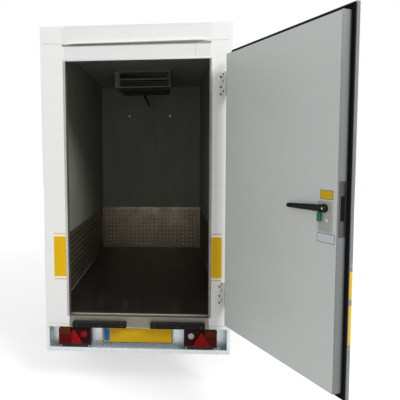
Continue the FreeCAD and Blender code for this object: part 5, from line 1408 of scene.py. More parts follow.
# ---------------------------------------------------------------- the rear door
@dataclass
class RearDoor:
    """The hinged rear door, worked out as it is when shut and then swung to its rest angle."""

    lip_steps: int = 12
    seal_inset: float = 0.002
    seal_round: float = 0.012
    slot_size: tuple[float, float] = (0.025, 0.123)
    plate_screw: float = 0.0042
    plate_screws: tuple[tuple[float, float], ...] = ((-0.012, 0.455), (0.012, 0.455), (0.0, -0.465))
    slot_rise: float = 0.004
    rosette_radius: float = 0.027
    plate_face: float = 0.008
    knob_size: tuple[float, float] = (0.0205, 0.051)
    knob_place: tuple[float, float] = (-0.393, 1.038)
    spindle_height: float = 1.083
    spindle_x: float = -0.424
    lever_tip: float = -0.15
    lever_droop: float = 0.0085
    boss_radius: float = 0.02
    dot_place: tuple[float, float] = (-0.4365, 1.0225)
    yellow_patch: tuple[float, float, float, float] = (-0.4685, -0.3795, 1.126, 1.172)
    white_patch: tuple[float, float, float, float] = (-0.4845, -0.364, 0.909, 0.956)
    patch_rim: float = 0.0028
    bands: tuple[tuple[float, float], ...] = ((0.412, 0.613), (0.639, 0.781))
    pinstripes: tuple[float, ...] = (0.396, 0.812)
    pinstripe_height: float = 0.007
    film: float = 0.0003
    band_end: float = 0.43
    hinge_rises: tuple[float, float] = (0.344, 1.845)
    hinge_steps: tuple[float, ...] = (-0.07, -0.05, -0.02, 0.02, 0.05, 0.07)

    def __post_init__(self) -> None:
        """Reads the hinge's place and the rest angle from the joint."""
        joint = next(row for row in frame["joints"] if row["name"] == "door_hinge")
        self.pivot = (joint["pos_m"][0], joint["pos_m"][1], 0.0)
        self.swing = about((0, 0, 1), -joint["range_deg"][0])

    def shut_corners(self, node: str) -> tuple[Array, Array]:
        """A door node's corners with the door shut: p = pivot + transposed swing (q - pivot)."""
        points = (points_of(node) - self.pivot) @ self.swing + self.pivot
        return points.min(axis=0), points.max(axis=0)

    def hang(self, name: str, *parts: tuple[Shape, Finish], instead_of: Sequence[str] = ()) -> None:
        """Adds a piece of skins drawn on the shut door, brought to the rest angle."""
        add_mixed(name, [(shape.turned(self.swing, self.pivot), finish) for shape, finish in parts], Body.DOOR,
                  instead_of)

    def build(self) -> None:
        """Builds and dresses the door."""
        refine_all([
            ("door_leaf", BOOK.door_skin, 0.003),
            ("door_block", BOOK.door_lining, 0.002),
            ("lock_faceplate", BOOK.stainless, 0.0),
            ("escutcheon", BOOK.escutcheon, 0.0015),
            ("outside_handle", BOOK.handle, 0.004),
            ("door_hinges", BOOK.hinge, 0.0008),
        ], Body.DOOR)
        refined("frame_hinges", BOOK.hinge, 0.0008)
        self.add_edgings()
        self.add_seal()
        self.add_lever()
        self.add_lock_details()
        self.add_patches()
        self.add_bands()
        self.add_hinge_screws()

    def edging(self, node: str, near: float, far: float, lap: float) -> Shape:
        """A thin profile round a slab's narrow faces that laps over the rim of one broad face.

        Args:
            node: the slab.
            near: y of the edge that isn't seen.
            far: y of the broad face it laps over.
            lap: how far it reaches over that face.

        Returns:
            The closed ring.
        """
        low, high = self.shut_corners(node)
        outline = rounded_outline(*(high - low)[[0, 2]], 0.003)
        middle, skin, way = ((low + high) / 2)[[0, 2]], self.film, math.copysign(1, far - near)
        rows = []
        for inset, y in ((-skin, near), (-skin, far - way * 0.0024), (0.0008, far + way * skin),
                         (lap, far + way * skin), (lap, far - way * 0.001), (0.0015, near), (-skin, near)):
            flat = shrunk(outline, inset) + middle
            rows.append(np.column_stack([flat[:, 0], np.full(len(flat), y), flat[:, 1]]))
        ring = loft(np.stack(rows))
        return ring if way > 0 else ring.outward()

    def add_edgings(self) -> None:
        """Grey profiles that close the narrow faces of the door's leaf and of its block."""
        leaf_low, leaf_high = self.shut_corners("door_leaf")
        block_low, block_high = self.shut_corners("door_block")
        rings = joined([self.edging("door_block", block_low[1], block_high[1], 0.003),
                        self.edging("door_leaf", leaf_high[1] - 0.0006, leaf_low[1], 0.004)])
        self.hang("door_edging", (rings, BOOK.edging))

    def add_seal(self) -> None:
        """A double-bulb seal: across its width its height is t (0.35 + 0.65 |sin 2 pi s|)."""
        leaf_low, leaf_high = self.shut_corners("door_leaf")
        block_low, block_high = self.shut_corners("door_block")
        seal_low, seal_high = self.shut_corners("door_seal")
        inset = self.seal_inset
        outer = rounded_outline(*(leaf_high - leaf_low)[[0, 2]] - 2 * inset, self.seal_round)
        inner = rounded_outline(*(block_high - block_low)[[0, 2]], 0.003)
        outer += ((leaf_low + leaf_high) / 2)[[0, 2]]
        inner += ((block_low + block_high) / 2)[[0, 2]]
        thick = seal_high[1] - seal_low[1]
        s = np.linspace(0, 1, 2 * self.lip_steps + 1)[:, None, None]
        height = thick * (0.35 + 0.65 * np.abs(np.sin(2 * math.pi * s)))
        height[0] = height[-1] = thick * 0.3
        flat = inner[None] + s * (outer - inner)[None]
        y = np.broadcast_to(seal_low[1] + height, flat.shape[:2] + (1,))
        top = np.concatenate([flat[..., :1], y, flat[..., 1:]], axis=-1)
        ends = top[[-1, 0]].copy()
        ends[..., 1] = seal_low[1]
        rows = np.concatenate([top, ends, top[:1]])
        self.hang("door_gasket", (loft(rows), BOOK.seal), instead_of=["door_seal"])

    def add_lever(self) -> None:
        """The inside lever: a turned boss, and an arm whose oval section thins towards its tip.

        At s along the arm the half height is 0.0185 - 0.007 s and the half thickness 0.0085 -
        0.0015 s; the arm leaves the boss sunk by 4 mm, rises to its own plane and droops evenly.
        """
        low, high = self.shut_corners("inside_lever")
        z, face = self.spindle_height, low[1]
        s = np.linspace(0, 1, 22)
        path = np.column_stack([self.spindle_x + s * (self.lever_tip + 0.006 - self.spindle_x),
                                high[1] - 0.0095 - 0.004 * np.exp(-10 * s),
                                z - self.lever_droop * s])
        turn = np.linspace(0, 2 * math.pi, 16, endpoint=False)
        taper = np.sqrt(np.clip(1 - np.clip((s - 0.97) / 0.03, 0, 1) ** 4, 0.02, 1))
        tall, deep = (0.0185 - 0.007 * s) * taper, (0.0085 - 0.0015 * s) * taper
        section = np.stack([deep[:, None] * np.cos(turn), tall[:, None] * np.sin(turn)], -1)
        radius, reach = self.boss_radius, high[1] - face
        boss = lathe([(0, 0), (0, radius * 1.12), (0.006, radius * 1.12), (0.008, radius * 0.94),
                      (reach - 0.005, radius * 0.96), (reach - 0.001, radius * 0.84), (reach, radius * 0.6),
                      (reach - 0.0015, radius * 0.3), (reach - 0.0015, 0)], 32)
        boss = boss.fitted(Facing.FRONT, (self.spindle_x, face, z))
        cap = screw_head(0.005, 0.0012).fitted(Facing.FRONT, (self.spindle_x, high[1] - 0.0012, z))
        self.hang("door_lever", (joined([swept(path, section), boss]), BOOK.handle), (cap, BOOK.bright),
                  instead_of=["inside_lever"])

    def add_lock_details(self) -> None:
        """Slot and screws of the faceplate; rosette, screws, knob and white dot of the escutcheon."""
        low, high = self.shut_corners("lock_faceplate")
        x, y, z, tall = low[0], (low[1] + high[1]) / 2, (low[2] + high[2]) / 2, high[2] - low[2]
        slot = slab(rounded_outline(*self.slot_size, 0.002), 0.0006, 0.0004).fitted(
            Facing.LEFT, (x, y - 0.001, z + self.slot_rise))
        screws = repeated(screw_head(self.plate_screw, 0.0012).fitted(Facing.LEFT),
                          np.array([(x, y + across, z + tall * rise) for across, rise in self.plate_screws]))
        low, high = self.shut_corners("escutcheon")
        face, radius = low[1] + self.plate_face, self.rosette_radius
        rosette = lathe([(0, 0), (0, radius), (0.0012, radius), (0.0024, radius - 0.0025), (0.0024, 0)], 32)
        rosette = rosette.fitted(Facing.FRONT, (self.spindle_x, face - 0.0008, self.spindle_height))
        fasteners = studs(screw_head(self.plate_screw, 0.0014), Facing.FRONT, (low[0] + 0.013, high[0] - 0.013),
                          (face,), (low[2] + 0.012, high[2] - 0.012))
        dot = lathe([(0, 0), (0, 0.0085), (0.0012, 0.0085), (0.0022, 0.006), (0.0024, 0)], 24)
        dot = dot.fitted(Facing.FRONT, (self.dot_place[0], face, self.dot_place[1]))
        knob = slab(rounded_outline(*self.knob_size, 0.0095, 8), high[1] - face + 0.001, 0.0016, 3)
        knob = knob.fitted(Facing.FRONT, (self.knob_place[0], face, self.knob_place[1]))
        self.hang("lock_details", (slot, BOOK.seal), (screws, BOOK.stainless),
                  (joined([rosette, fasteners]), BOOK.escutcheon), (dot, BOOK.white_dot), (knob, BOOK.knob))

    def add_patches(self) -> None:
        """Two blank stickers on the lining, one yellow and one white, each with a plain grey rim."""
        face = self.shut_corners("door_block")[1][1]
        edge, film, parts = self.patch_rim, self.film, []
        for (x0, x1, z0, z1), finish in ((self.yellow_patch, BOOK.patch_yellow),
                                         (self.white_patch, BOOK.patch_white)):
            rim = rounded_box((x0, face - film, z0), (x1, face + film, z1), FILM_EDGE, 1)
            sheet = rounded_box((x0 + edge, face - film, z0 + edge),
                                (x1 - edge, face + 1.6 * film, z1 - edge), FILM_EDGE, 1)
            parts += [(rim, BOOK.patch_rim), (sheet, finish)]
        self.hang("blank_stickers", *parts)

    def add_bands(self) -> None:
        """Yellow bands and pinstripes on the outer face, wrapped round the free edge."""
        low, high = self.shut_corners("door_leaf")
        half, film = self.pinstripe_height / 2, self.film
        rises = list(self.bands) + [(z - half, z + half) for z in self.pinstripes]
        films = blocks((((low[0] - 2.4 * film, low[1] - 2 * film, z0), (self.band_end, high[1] - 0.002, z1))
                        for z0, z1 in rises), 0.0031, 3)
        self.hang("door_bands", (films, BOOK.yellow))

    def add_hinge_screws(self) -> None:
        """Screws in the hinge straps, on the door and on the post, the post's set in dark dishes that paint the shade
        of their holes.
        """
        low, _ = self.shut_corners("door_hinges")
        strap = studs(screw_head(0.0055, 0.002), Facing.REAR, (low[0] + 0.018, low[0] + 0.062, low[0] + 0.106),
                      (low[1],), self.hinge_rises)
        self.hang("hinge_screws", (strap, BOOK.bright))
        left = corners_of("frame_hinges")[0][0]
        face = corners_of("rear_posts")[0][1] - 0.004
        spread = np.array([(left + (0.034 if turn % 2 else 0.014), face, z + step)
                           for z in self.hinge_rises for turn, step in enumerate(self.hinge_steps)])
        # dark dishes round the post's screws: painted shade in the screw holes
        dish = lathe([(0, 0), (0, 0.0072), (0.0007, 0.0068), (0.0003, 0.004), (0.0003, 0)], 18)
        screws, dishes = (repeated(shape.fitted(Facing.REAR), spread) for shape in (screw_head(0.004, 0.001), dish))
        add_mixed("post_hinge_screws", [(dishes, BOOK.screw_hole_shade), (screws, BOOK.stainless)])


# ---------------------------------------------------------------- the rear lights
@dataclass
class RearLights:
    """The lamp bar with its lamps and number plate, the buffers and the marker lamps.

    A lamp is drawn in its own plane: a inwards from its outer end, b up from its foot.
    """

    lamp_width: float = 0.24
    lamp_round: float = 0.014
    field_size: tuple[float, float] = (0.146, 0.119)
    field_middle: tuple[float, float] = (0.165, 0.085)
    tray_depth: float = 0.075
    block: tuple[float, float, float, float] = (0.004, 0.093, 0.026, 0.144)
    amber_foot: float = 0.098
    triangle_middle: float = 0.115
    triangle_width: float = 0.135
    triangle_foot: float = 0.027
    triangle_height: float = 0.112
    round_lamp: tuple[float, float] = (0.19, 0.1)
    round_radius: float = 0.0235
    blue_width: float = 0.043
    bar_bolt_x: float = 0.31
    plate_edge: float = 0.004
    buffer_length: float = 0.4
    buffer_sunk: float = 0.009
    buffer_screws: tuple[float, ...] = (-0.168, 0.0, 0.168)
    marker_reach: float = 0.002
    marker_gap: float = 0.2
    marker_base_share: float = 0.35
    marker_lens_inset: float = 0.008

    def build(self) -> None:
        """Builds and dresses the lights."""
        refine_all([
            ("lamp_bar", BOOK.bar_zinc, 0.0012),
            ("plate_holder", BOOK.black, 0.002),
            ("power_inlet", BOOK.black, 0.004),
        ])
        low, high = corners_of("tail_lamps")
        for side, end, finish in ((-1, low[0], BOOK.reflector), (1, high[0], BOOK.clear_lens)):
            self.add_lamp(side, end, finish)
        self.add_plate()
        self.add_buffers()
        self.add_markers()
        self.add_bar_bolts()

    def add_lamp(self, side: int, end: float, inner_lens: Finish) -> None:
        """One lamp: black tray, raised outer block, triangle, round inner lamp and a dark field.

        Args:
            side: -1 on the left and 1 on the right.
            end: x of the lamp's outer end.
            inner_lens: finish of the round inner lamp.
        """
        low, high = corners_of("tail_lamps")
        foot, back, face = low[2], high[1], low[1]
        width, tall = self.lamp_width, high[2] - low[2]

        def fitted(shape: Shape, a: float, b: float, out: float) -> Shape:
            """A flat shape set on the lamp with its middle at a and b, and its foot at that depth."""
            return shape.fitted(Facing.REAR, (end - side * a, back - out, foot + b))

        depth, total = self.tray_depth, back - face
        a0, a1, b0, b1 = self.block
        tray = fitted(slab(rounded_outline(width, tall, self.lamp_round), depth, 0.004), width / 2, tall / 2, 0.0)
        screws = repeated(screw_head(0.004, 0.0015).fitted(Facing.REAR), np.array(
            [(end - side * a, back - depth, foot + 0.0075) for a in (0.014, 0.226)]))
        field_lens = fitted(slab(rounded_outline(*self.field_size, 0.006), 0.005, 0.002), *self.field_middle,
                            depth - 0.0005)
        red, amber = (fitted(slab(rounded_outline(a1 - a0, above - below, 0.005), total - depth, 0.004),
                             (a0 + a1) / 2, (below + above) / 2, depth)
                      for below, above in ((b0, self.amber_foot), (self.amber_foot, b1)))
        corners = np.array([(-self.triangle_width / 2, 0), (self.triangle_width / 2, 0), (0, self.triangle_height)])
        triangle = fitted(slab(self.softened(corners, 0.006), 0.008, 0.0025), self.triangle_middle,
                          self.triangle_foot, depth + 0.003 if side < 0 else total - 0.006)
        a, b = self.round_lamp
        bezel = lathe([(0, 0), (0, self.round_radius + 0.004), (0.004, self.round_radius + 0.004),
                       (0.006, self.round_radius + 0.001), (0.004, self.round_radius), (0.004, 0)], 32)
        dome = lathe([(0.002, 0), *quarter_dome(self.round_radius, 0.003, 0.007, 6)], 32)
        add_mixed("lamp_left" if side < 0 else "lamp_right", [
            (joined([tray, fitted(bezel, a, b, depth + 0.003)]), BOOK.black), (screws, BOOK.bright),
            (field_lens, BOOK.dark_lens), (red, BOOK.red_lens), (amber, BOOK.amber_lens),
            (triangle, BOOK.reflector), (fitted(dome, a, b, depth + 0.003), inner_lens),
        ], instead_of=["tail_lamps"])

    @staticmethod
    def softened(corners: Array, radius: float, steps: int = 5) -> Array:
        """An outline with its corners cut round: a quadratic bow from one side to the next.

        Args:
            corners: rows of x and y.
            radius: how far from each corner the bow starts.
            steps: spans in each bow.

        Returns:
            The softened outline.
        """
        before, after = np.roll(corners, 1, axis=0) - corners, np.roll(corners, -1, axis=0) - corners
        start = corners + radius * 2 * before / np.linalg.norm(before, axis=1, keepdims=True)
        stop = corners + radius * 2 * after / np.linalg.norm(after, axis=1, keepdims=True)
        t = np.linspace(0, 1, steps + 1)[None, :, None]
        bows = (1 - t) ** 2 * start[:, None] + 2 * t * (1 - t) * corners[:, None] + t ** 2 * stop[:, None]
        return bows.reshape(-1, 2)

    def add_plate(self) -> None:
        """The blank yellow plate with its raised rim, and the plain blue strip at its left end."""
        low, high = corners_of("number_plate")
        width, tall = high[0] - low[0], high[2] - low[2]
        middle = ((low[0] + high[0]) / 2, high[1], (low[2] + high[2]) / 2)
        base = slab(rounded_outline(width, tall, 0.008), 0.0012, 0.0006).fitted(Facing.REAR, middle)
        outer = rounded_outline(width - 2 * self.plate_edge, tall - 2 * self.plate_edge, 0.006)
        inner = shrunk(outer, 0.0022)
        heights = (0.0010, 0.0020, 0.0020, 0.0010)
        stack = [np.column_stack([flat, np.full(len(flat), z)])
                 for flat, z in zip((outer, shrunk(outer, 0.0005), shrunk(outer, 0.0017), inner), heights)]
        rim = loft(np.stack([*stack, stack[0]])).fitted(Facing.REAR, middle)
        strip_x = low[0] + self.plate_edge + 0.003 + self.blue_width / 2
        strip = slab(rounded_outline(self.blue_width, tall - 0.016, 0.004), 0.0004, 0.0002).fitted(
            Facing.REAR, (strip_x, high[1] - 0.0012, middle[2]))
        add_mixed("plate_sheet", [(joined([base, rim]), BOOK.plate), (strip, BOOK.plate_blue)],
                  instead_of=["number_plate"])

    def add_buffers(self) -> None:
        """Two rubber buffers with round ends, each held by three screws in dished holes."""
        low, high = corners_of("rubber_buffers")
        length, sunk = self.buffer_length, self.buffer_sunk
        parts, screws = [], []
        for start in (low[0], high[0] - length):
            outline = rounded_outline(length, high[1] - low[1] + sunk, 0.013, 6)
            bar = slab(outline, high[2] - low[2], 0.006, 4)
            middle = (start + length / 2, (low[1] + high[1] + sunk) / 2)
            parts.append(bar.moved(middle[0], middle[1], low[2]))
            z = (low[2] + high[2]) / 2 - 0.004
            for offset in self.buffer_screws:
                dish = lathe([(0, 0), (0, 0.0085), (0.0012, 0.0078), (0.0006, 0.005), (0.0003, 0)], 20)
                parts.append(dish.fitted(Facing.REAR, (middle[0] + offset, low[1], z)))
                screws.append(screw_head(0.0042, 0.0009).fitted(
                    Facing.REAR, (middle[0] + offset, low[1] - 0.0004, z)))
        add_mixed("buffers", [(joined(parts), BOOK.buffer), (joined(screws), BOOK.stainless)],
                  instead_of=["rubber_buffers"])

    def add_markers(self) -> None:
        """Domed lenses on black bases for the side and front marker lamps."""
        points = points_of("marker_lamps")
        half = corners_of("side_walls")[1][0]
        front = corners_of("front_wall")[1][1]
        bases, amber, clear = [], [], []
        lamps = [(points[points[:, 0] * side > half - self.marker_reach], facing, side * half, amber)
                 for side, facing in ((-1, Facing.LEFT), (1, Facing.RIGHT))]
        lamps.append((points[points[:, 1] > front - self.marker_reach], Facing.FRONT, front, clear))
        for near, facing, wall, lenses in lamps:
            for low, high in self.boxes(near):
                bases.append(self.lens(low, high, facing, wall, 0.0, self.marker_base_share))
                lenses.append(self.lens(low, high, facing, wall, self.marker_lens_inset, 1.0))
        add_mixed("marker_lenses", [(joined(amber), BOOK.marker_amber), (joined(bases), BOOK.black),
                                    (joined(clear), BOOK.marker_clear)], instead_of=["marker_lamps"])

    def boxes(self, points: Array) -> list[tuple[Array, Array]]:
        """The corners of each clump of points: sorted along their longest side and cut at wide gaps."""
        along = int(np.argmax(np.ptp(points, axis=0)))
        ordered = points[np.argsort(points[:, along])]
        breaks = np.flatnonzero(np.diff(ordered[:, along]) > self.marker_gap) + 1
        return [(clump.min(axis=0), clump.max(axis=0)) for clump in np.split(ordered, breaks)]

    @staticmethod
    def lens(low: Array, high: Array, facing: Facing, wall: float, inset: float, share: float) -> Shape:
        """A rounded lens or base within a lamp's corners.

        Args:
            low: lamp's lowest corner.
            high: lamp's highest corner.
            facing: the way it faces.
            wall: place of the wall along that way.
            inset: how much smaller than the lamp it is.
            share: how much of the lamp's reach it takes.

        Returns:
            The fitted skin.
        """
        axis = 1 if facing is Facing.FRONT else 0
        size, middle = high - low, (low + high) / 2
        across = size[1 - axis]
        reach = (high[axis] - wall if wall > 0 or axis == 1 else wall - low[axis]) * share
        outline = rounded_outline(across - inset, size[2] - inset, min(size[2], across) * 0.32)
        middle[axis] = wall
        return slab(outline, reach, reach * 0.6, 4).fitted(facing, middle)

    def add_bar_bolts(self) -> None:
        """Bolts through the lamp bar's web, and a screw in each lower corner of its rim."""
        low, high = corners_of("lamp_bar")
        web = corners_of("plate_holder")[1][1]
        bolts = studs(hex_bolt(0.0075, 0.005), Facing.REAR, (-self.bar_bolt_x, self.bar_bolt_x), (web,),
                      (low[2] + 0.06, high[2] - 0.05))
        screws = studs(screw_head(0.005, 0.002), Facing.REAR, (low[0] + 0.012, high[0] - 0.012), (low[1],),
                       (low[2] + 0.012,))
        add_piece("bar_bolts", joined([bolts, screws]), BOOK.bright)


# ---------------------------------------------------------------- chassis, wheels and hitch
@dataclass
class Chassis:
    """Rails, cross members, drawbar and axle, with the bolts that hold them together."""

    bolt_radius: float = 0.009
    bolt_half_rise: float = 0.018
    bolts_from_axle: tuple[float, ...] = (-0.09, 0.09, 0.6, 1.1)
    bolt_from_rear: float = 0.15

    def build(self) -> None:
        """Dresses the chassis and adds its bolts."""
        refine_all([
            ("chassis_rails", BOOK.zinc, 0.003),
            ("cross_members", BOOK.zinc, 0.0025),
            ("drawbar_arms", BOOK.zinc, 0.004),
            ("axle_tube", BOOK.zinc, 0.006),
            ("axle_arms", BOOK.cast, 0.002),
            ("mudguards", BOOK.guard, 0.0015),
        ])
        self.add_bolts()

    def add_bolts(self) -> None:
        """Bolt heads in pairs on the rails' outer faces: on both sides of the axle, ahead of it and at the rear."""
        low, high = corners_of("chassis_rails")
        axle = sum(corners_of("axle_tube"))[1] / 2
        along = (*(axle + step for step in self.bolts_from_axle), low[1] + self.bolt_from_rear)
        middle, rise = (low[2] + high[2]) / 2, self.bolt_half_rise
        heads = side_studs("chassis_rails", hex_bolt(self.bolt_radius, 0.007), along, (middle - rise, middle + rise))
        add_piece("chassis_bolts", heads, BOOK.bright)


@dataclass
class Wheels:
    """The two road wheels and the jockey wheel.

    The tyre's skin is its cross-section carried round the axle, cut by ring grooves and by slots
    that lean across the tread.
    """

    bead: float = 0.119
    side_section: tuple[tuple[float, float], ...] = (
        (0.776, 0.0), (0.891, 0.083), (0.952, 0.21), (0.988, 0.361), (1.0, 0.511), (0.996, 0.647), (0.976, 0.711),
        (0.988, 0.726), (0.964, 0.763), (0.927, 0.823), (0.867, 0.898), (0.782, 0.959), (0.7, 0.989))
    tread_depth: float = 0.0068
    turn_steps: int = 360
    slots: int = 60
    slot_share: float = 0.2
    slot_lean: float = 31.0
    rings: tuple[float, ...] = (-0.025, 0.0, 0.025)
    ring_half: float = 0.0034
    bolt_circle: float = 0.05
    bolt_count: int = 4
    disc_face: float = 0.606
    hub_face: float = 0.652
    hub_radius: float = 0.027
    valve_place: tuple[float, float] = (0.066, 0.068)

    def build(self) -> None:
        """Builds both tyres, dresses the rims and adds bolts and the jockey wheel's discs."""
        for side, name, body in ((-1, "left", Body.WHEEL_LEFT), (1, "right", Body.WHEEL_RIGHT)):
            refined("road_rim_" + name, BOOK.silver, 0.0012, body)
            low, high = corners_of("road_tyre_" + name)
            centre, size = (low + high) / 2, (high - low) / 2
            tyre = self.tyre(size[2], size[0]).moved(*centre)
            add_piece("tyre_" + name, tyre, BOOK.tyre, body, ["road_tyre_" + name])
            self.add_bolts(side, name, body, centre)
        refined("jockey_wheel", BOOK.solid_rubber, body=Body.JOCKEY_WHEEL)
        self.add_jockey_discs()

    def tyre(self, radius: float, half_width: float) -> Shape:
        """A tyre about the x axis: section points (x, radius) at angle t, radius less the tread's cut.

        The cut is the tread depth inside ring grooves at fixed x, or where the lean-shifted angle
        falls in a slot: frac(slots t / 2 pi + lean |x|) < share, between the middle and the shoulders.

        Args:
            radius: tyre's outer radius.
            half_width: half of its width.

        Returns:
            The closed skin, centred on the origin.
        """
        section = np.array(self.side_section) * (-half_width, radius - self.bead) + (0, self.bead)
        tread = np.linspace(-0.66, 0.66, 45) * half_width
        crown = radius - 1.8 * np.maximum(np.abs(tread) - 0.36 * half_width, 0) ** 2
        line = np.vstack([section, np.column_stack([tread, crown]), section[::-1] * (-1, 1)])
        x, out = line[:, 0], line[:, 1]
        turn = np.linspace(0, 2 * math.pi, self.turn_steps, endpoint=False)[:, None]
        ring = (np.abs(x[:, None] - np.array(self.rings)) < self.ring_half).any(axis=1)
        phase = self.slots * turn / (2 * math.pi) + self.slot_lean * np.abs(x)
        slot = (np.mod(phase, 1.0) < self.slot_share) & (np.abs(x) > 0.01) & (np.abs(x) < 0.86 * half_width)
        cut = np.maximum(ring, slot * 0.9) * (out > radius - 0.017)
        cut_out = out - self.tread_depth * cut
        rows = np.stack([np.broadcast_to(x, cut_out.shape), cut_out * np.cos(turn), cut_out * np.sin(turn)], -1)
        return loft(np.concatenate([rows, rows[:1]]))

    def add_bolts(self, side: int, name: str, body: Body, centre: Array) -> None:
        """Wheel bolts round the hub, a hub cap and a valve stem."""
        facing = Facing.LEFT if side < 0 else Facing.RIGHT
        turn = np.linspace(0, 2 * math.pi, self.bolt_count, endpoint=False) + 0.3
        x = side * self.disc_face
        places = np.column_stack([np.full_like(turn, x), centre[1] + self.bolt_circle * np.cos(turn),
                                  centre[2] + self.bolt_circle * np.sin(turn)])
        bolts = repeated(hex_bolt(0.0085, 0.014).fitted(facing), places)
        cap = lathe([(0, 0), *quarter_dome(self.hub_radius, 0.004, 0.006, 5)], 32)
        cap = cap.fitted(facing, (side * (self.hub_face - 0.004), centre[1], centre[2]))
        valve = lathe([(0, 0), (0, 0.0055), (0.018, 0.005), (0.02, 0.0042), (0.032, 0.0042), (0.034, 0.003),
                       (0.034, 0)], 14).fitted(
            facing, (x, centre[1] + self.valve_place[0], centre[2] + self.valve_place[1]))
        add_mixed("wheel_bolts_" + name, [(joined([bolts, cap]), BOOK.bright), (valve, BOOK.black)], body)

    def add_jockey_discs(self) -> None:
        """Pressed steel discs in both faces of the jockey wheel."""
        low, high = corners_of("jockey_wheel")
        centre = (low + high) / 2
        disc = lathe([(-0.012, 0), (-0.012, 0.064), (-0.001, 0.066), (0.0, 0.063), (-0.004, 0.058),
                      (-0.007, 0.04), (-0.006, 0.026), (-0.001, 0.02), (0.0, 0.0165), (0.0, 0.0)], 40)
        pair = joined(disc.fitted(facing, (x, centre[1], centre[2]))
                      for facing, x in ((Facing.LEFT, low[0] + 0.004), (Facing.RIGHT, high[0] - 0.004)))
        add_piece("jockey_discs", pair, BOOK.zinc, Body.JOCKEY_WHEEL)


@dataclass
class Hitch:
    """Coupling, overrun device, hand brake and jockey jack on the drawbar's nose."""

    fold_swing: float = 0.005
    folds: int = 9
    fold_steps: int = 8

    def build(self) -> None:
        """Dresses the hitch and adds its bellows and bolts."""
        refine_all([
            ("coupling_head", BOOK.zinc, 0.003),
            ("coupling_handle", BOOK.cast, 0.004),
            ("overrun_housing", BOOK.cast, 0.004),
            ("handbrake_lever", BOOK.zinc, 0.001),
            ("jack_outer_tube", BOOK.zinc, 0.0008),
        ])
        refined("jack_leg", BOOK.zinc, 0.0008, Body.JACK_LEG)
        refined("jockey_fork", BOOK.zinc, 0.001, Body.JOCKEY_FORK)
        self.add_bellows()
        self.add_bolts()

    def add_bellows(self) -> None:
        """The bellows: radius = middle + swing cos(2 pi n s) along the overrun tube."""
        low, high = corners_of("overrun_gaiter")
        outer = (high[0] - low[0]) / 2
        s = np.linspace(0, 1, self.folds * self.fold_steps + 1)
        radius = outer - self.fold_swing * (1 + np.cos(2 * math.pi * self.folds * s))
        length = high[1] - low[1]
        profile = [(0, 0), *zip(s * length, radius), (length, 0)]
        centre = ((low[0] + high[0]) / 2, low[1], (low[2] + high[2]) / 2)
        add_piece("bellows", lathe(profile, 40).fitted(Facing.FRONT, centre), BOOK.gaiter,
                  instead_of=["overrun_gaiter"])

    def add_bolts(self) -> None:
        """Bolt heads on both sides of the overrun housing."""
        low, high = corners_of("overrun_housing")
        front = corners_of("overrun_gaiter")[0][1]
        heads = side_studs("overrun_housing", hex_bolt(0.008, 0.006), (low[1] + 0.06, front - 0.05),
                           ((low[2] + high[2]) / 2,))
        add_piece("hitch_bolts", heads, BOOK.bright)


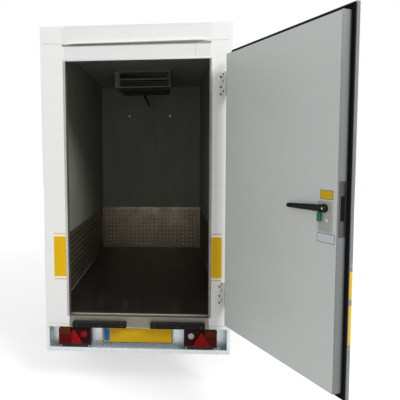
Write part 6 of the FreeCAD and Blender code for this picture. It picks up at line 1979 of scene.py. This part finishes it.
# ---------------------------------------------------------------- studio
@dataclass
class Studio:
    """Pale floor, soft lights and the camera."""

    floor_size: float = 40.0
    floor_colour: Colour = (0.6, 0.6, 0.6)
    floor_roughness: float = 0.9
    floor_lift: float = 0.52
    lift_reach: tuple[float, float] = (2.5, 8.0)
    ambient: float = 0.54
    key_power: float = 700.0
    key_size: float = 3.6
    key_place: Point = (5.5, -10.4, 7.2)
    back_power: float = 300.0
    back_size: float = 5.0
    back_place: Point = (-5.0, 7.0, 6.0)
    look_at: Point = (0.0, -3.6, 1.2)
    camera_place: Point = (0.25473, -7.13734, 1.34745)
    camera_pitch: float = 0.07932
    camera_yaw: float = -0.07538
    camera_roll: float = -0.00705
    lens: float = 41.840
    shift: tuple[float, float] = (0.15973, -0.0183)

    def build(self) -> None:
        """Sets up the studio."""
        bpy.context.scene.view_settings.view_transform = "Standard"
        self.add_floor()
        self.light_world()
        for name, power, size, place in (("key", self.key_power, self.key_size, self.key_place),
                                         ("back", self.back_power, self.back_size, self.back_place)):
            self.add_light(name, power, size, place)
        self.add_camera()

    @staticmethod
    def seen_directly(wire: Wiring) -> Socket:
        """1 for camera, glossy and transmission rays."""
        path = wire.node("LightPath").outputs
        seen = wire.math("MAXIMUM", path["Is Camera Ray"], path["Is Glossy Ray"])
        return wire.math("MAXIMUM", seen, path["Is Transmission Ray"])

    def add_floor(self) -> None:
        """The floor under the wheels: pale, and lifted to white where it is seen.

        The lift grows with the distance from the trailer, as the lamps' light thins out there.
        """
        ground = corners_of("road_tyre_left")[0][2]
        half = self.floor_size / 2
        corners = [(-half, -half, ground), (half, -half, ground), (half, half, ground), (-half, half, ground)]
        mesh = bpy.data.meshes.new("floor")
        mesh.from_pydata(corners, [], [(0, 1, 2, 3)])
        floor = linked("floor", mesh)
        material = bpy.data.materials.new("floor")
        material.use_nodes = True
        wire = Wiring(material.node_tree)
        shader = material.node_tree.nodes["Principled BSDF"]
        reach = wire.node("VectorMath", {0: wire.place()}, operation="LENGTH").outputs["Value"]
        lift = wire.ramp(reach, *self.lift_reach, self.floor_lift, 1.0)
        wire.feed_all(shader, {
            "Base Color": self.floor_colour, "Roughness": self.floor_roughness, "Specular IOR Level": 0.0,
            "Emission Color": WHITE, "Emission Strength": wire.product(self.seen_directly(wire), lift)})
        mesh.materials.append(material)

    def light_world(self) -> None:
        """An even white surrounding, at full strength only where it is seen."""
        world = bpy.data.worlds.new("studio")
        world.use_nodes = True
        wire = Wiring(world.node_tree)
        wire.feed_all(world.node_tree.nodes["Background"], {
            0: WHITE, 1: wire.between(self.seen_directly(wire), self.ambient, 1.0)})
        bpy.context.scene.world = world

    def add_light(self, name: str, power: float, size: float, place: Point) -> None:
        """A square soft light aimed at the trailer."""
        light = bpy.data.lights.new(name, "AREA")
        light.energy, light.size = power, size
        lamp = linked(name, light)
        lamp.location = place
        aim = Vector(self.look_at) - lamp.location
        lamp.rotation_euler = aim.to_track_quat("-Z", "Y").to_euler()

    def add_camera(self) -> None:
        """The camera at the height of a standing viewer behind the trailer."""
        data = bpy.data.cameras.new("camera")
        data.lens = self.lens
        data.shift_x, data.shift_y = self.shift
        camera = linked("camera", data)
        camera.location = self.camera_place
        turn = Matrix.Rotation(-self.camera_yaw, 3, "Z") @ Matrix.Rotation(QUARTER - self.camera_pitch, 3, "X")
        camera.rotation_euler = (turn @ Matrix.Rotation(self.camera_roll, 3, "Z")).to_euler()
        bpy.context.scene.camera = camera


def main() -> None:
    """Builds every sub-assembly in order."""
    logging.basicConfig(level=logging.INFO, format="%(name)s: %(message)s")
    for assembly in (InsulatedBox(), LoadSpace(), Cooling(), RearDoor(), RearLights(), Chassis(), Wheels(),
                     Hitch(), Studio()):
        LOG.info("building %s", type(assembly).__name__)
        assembly.build()
    bpy.context.view_layer.update()


if __name__ == "__main__":
    main()
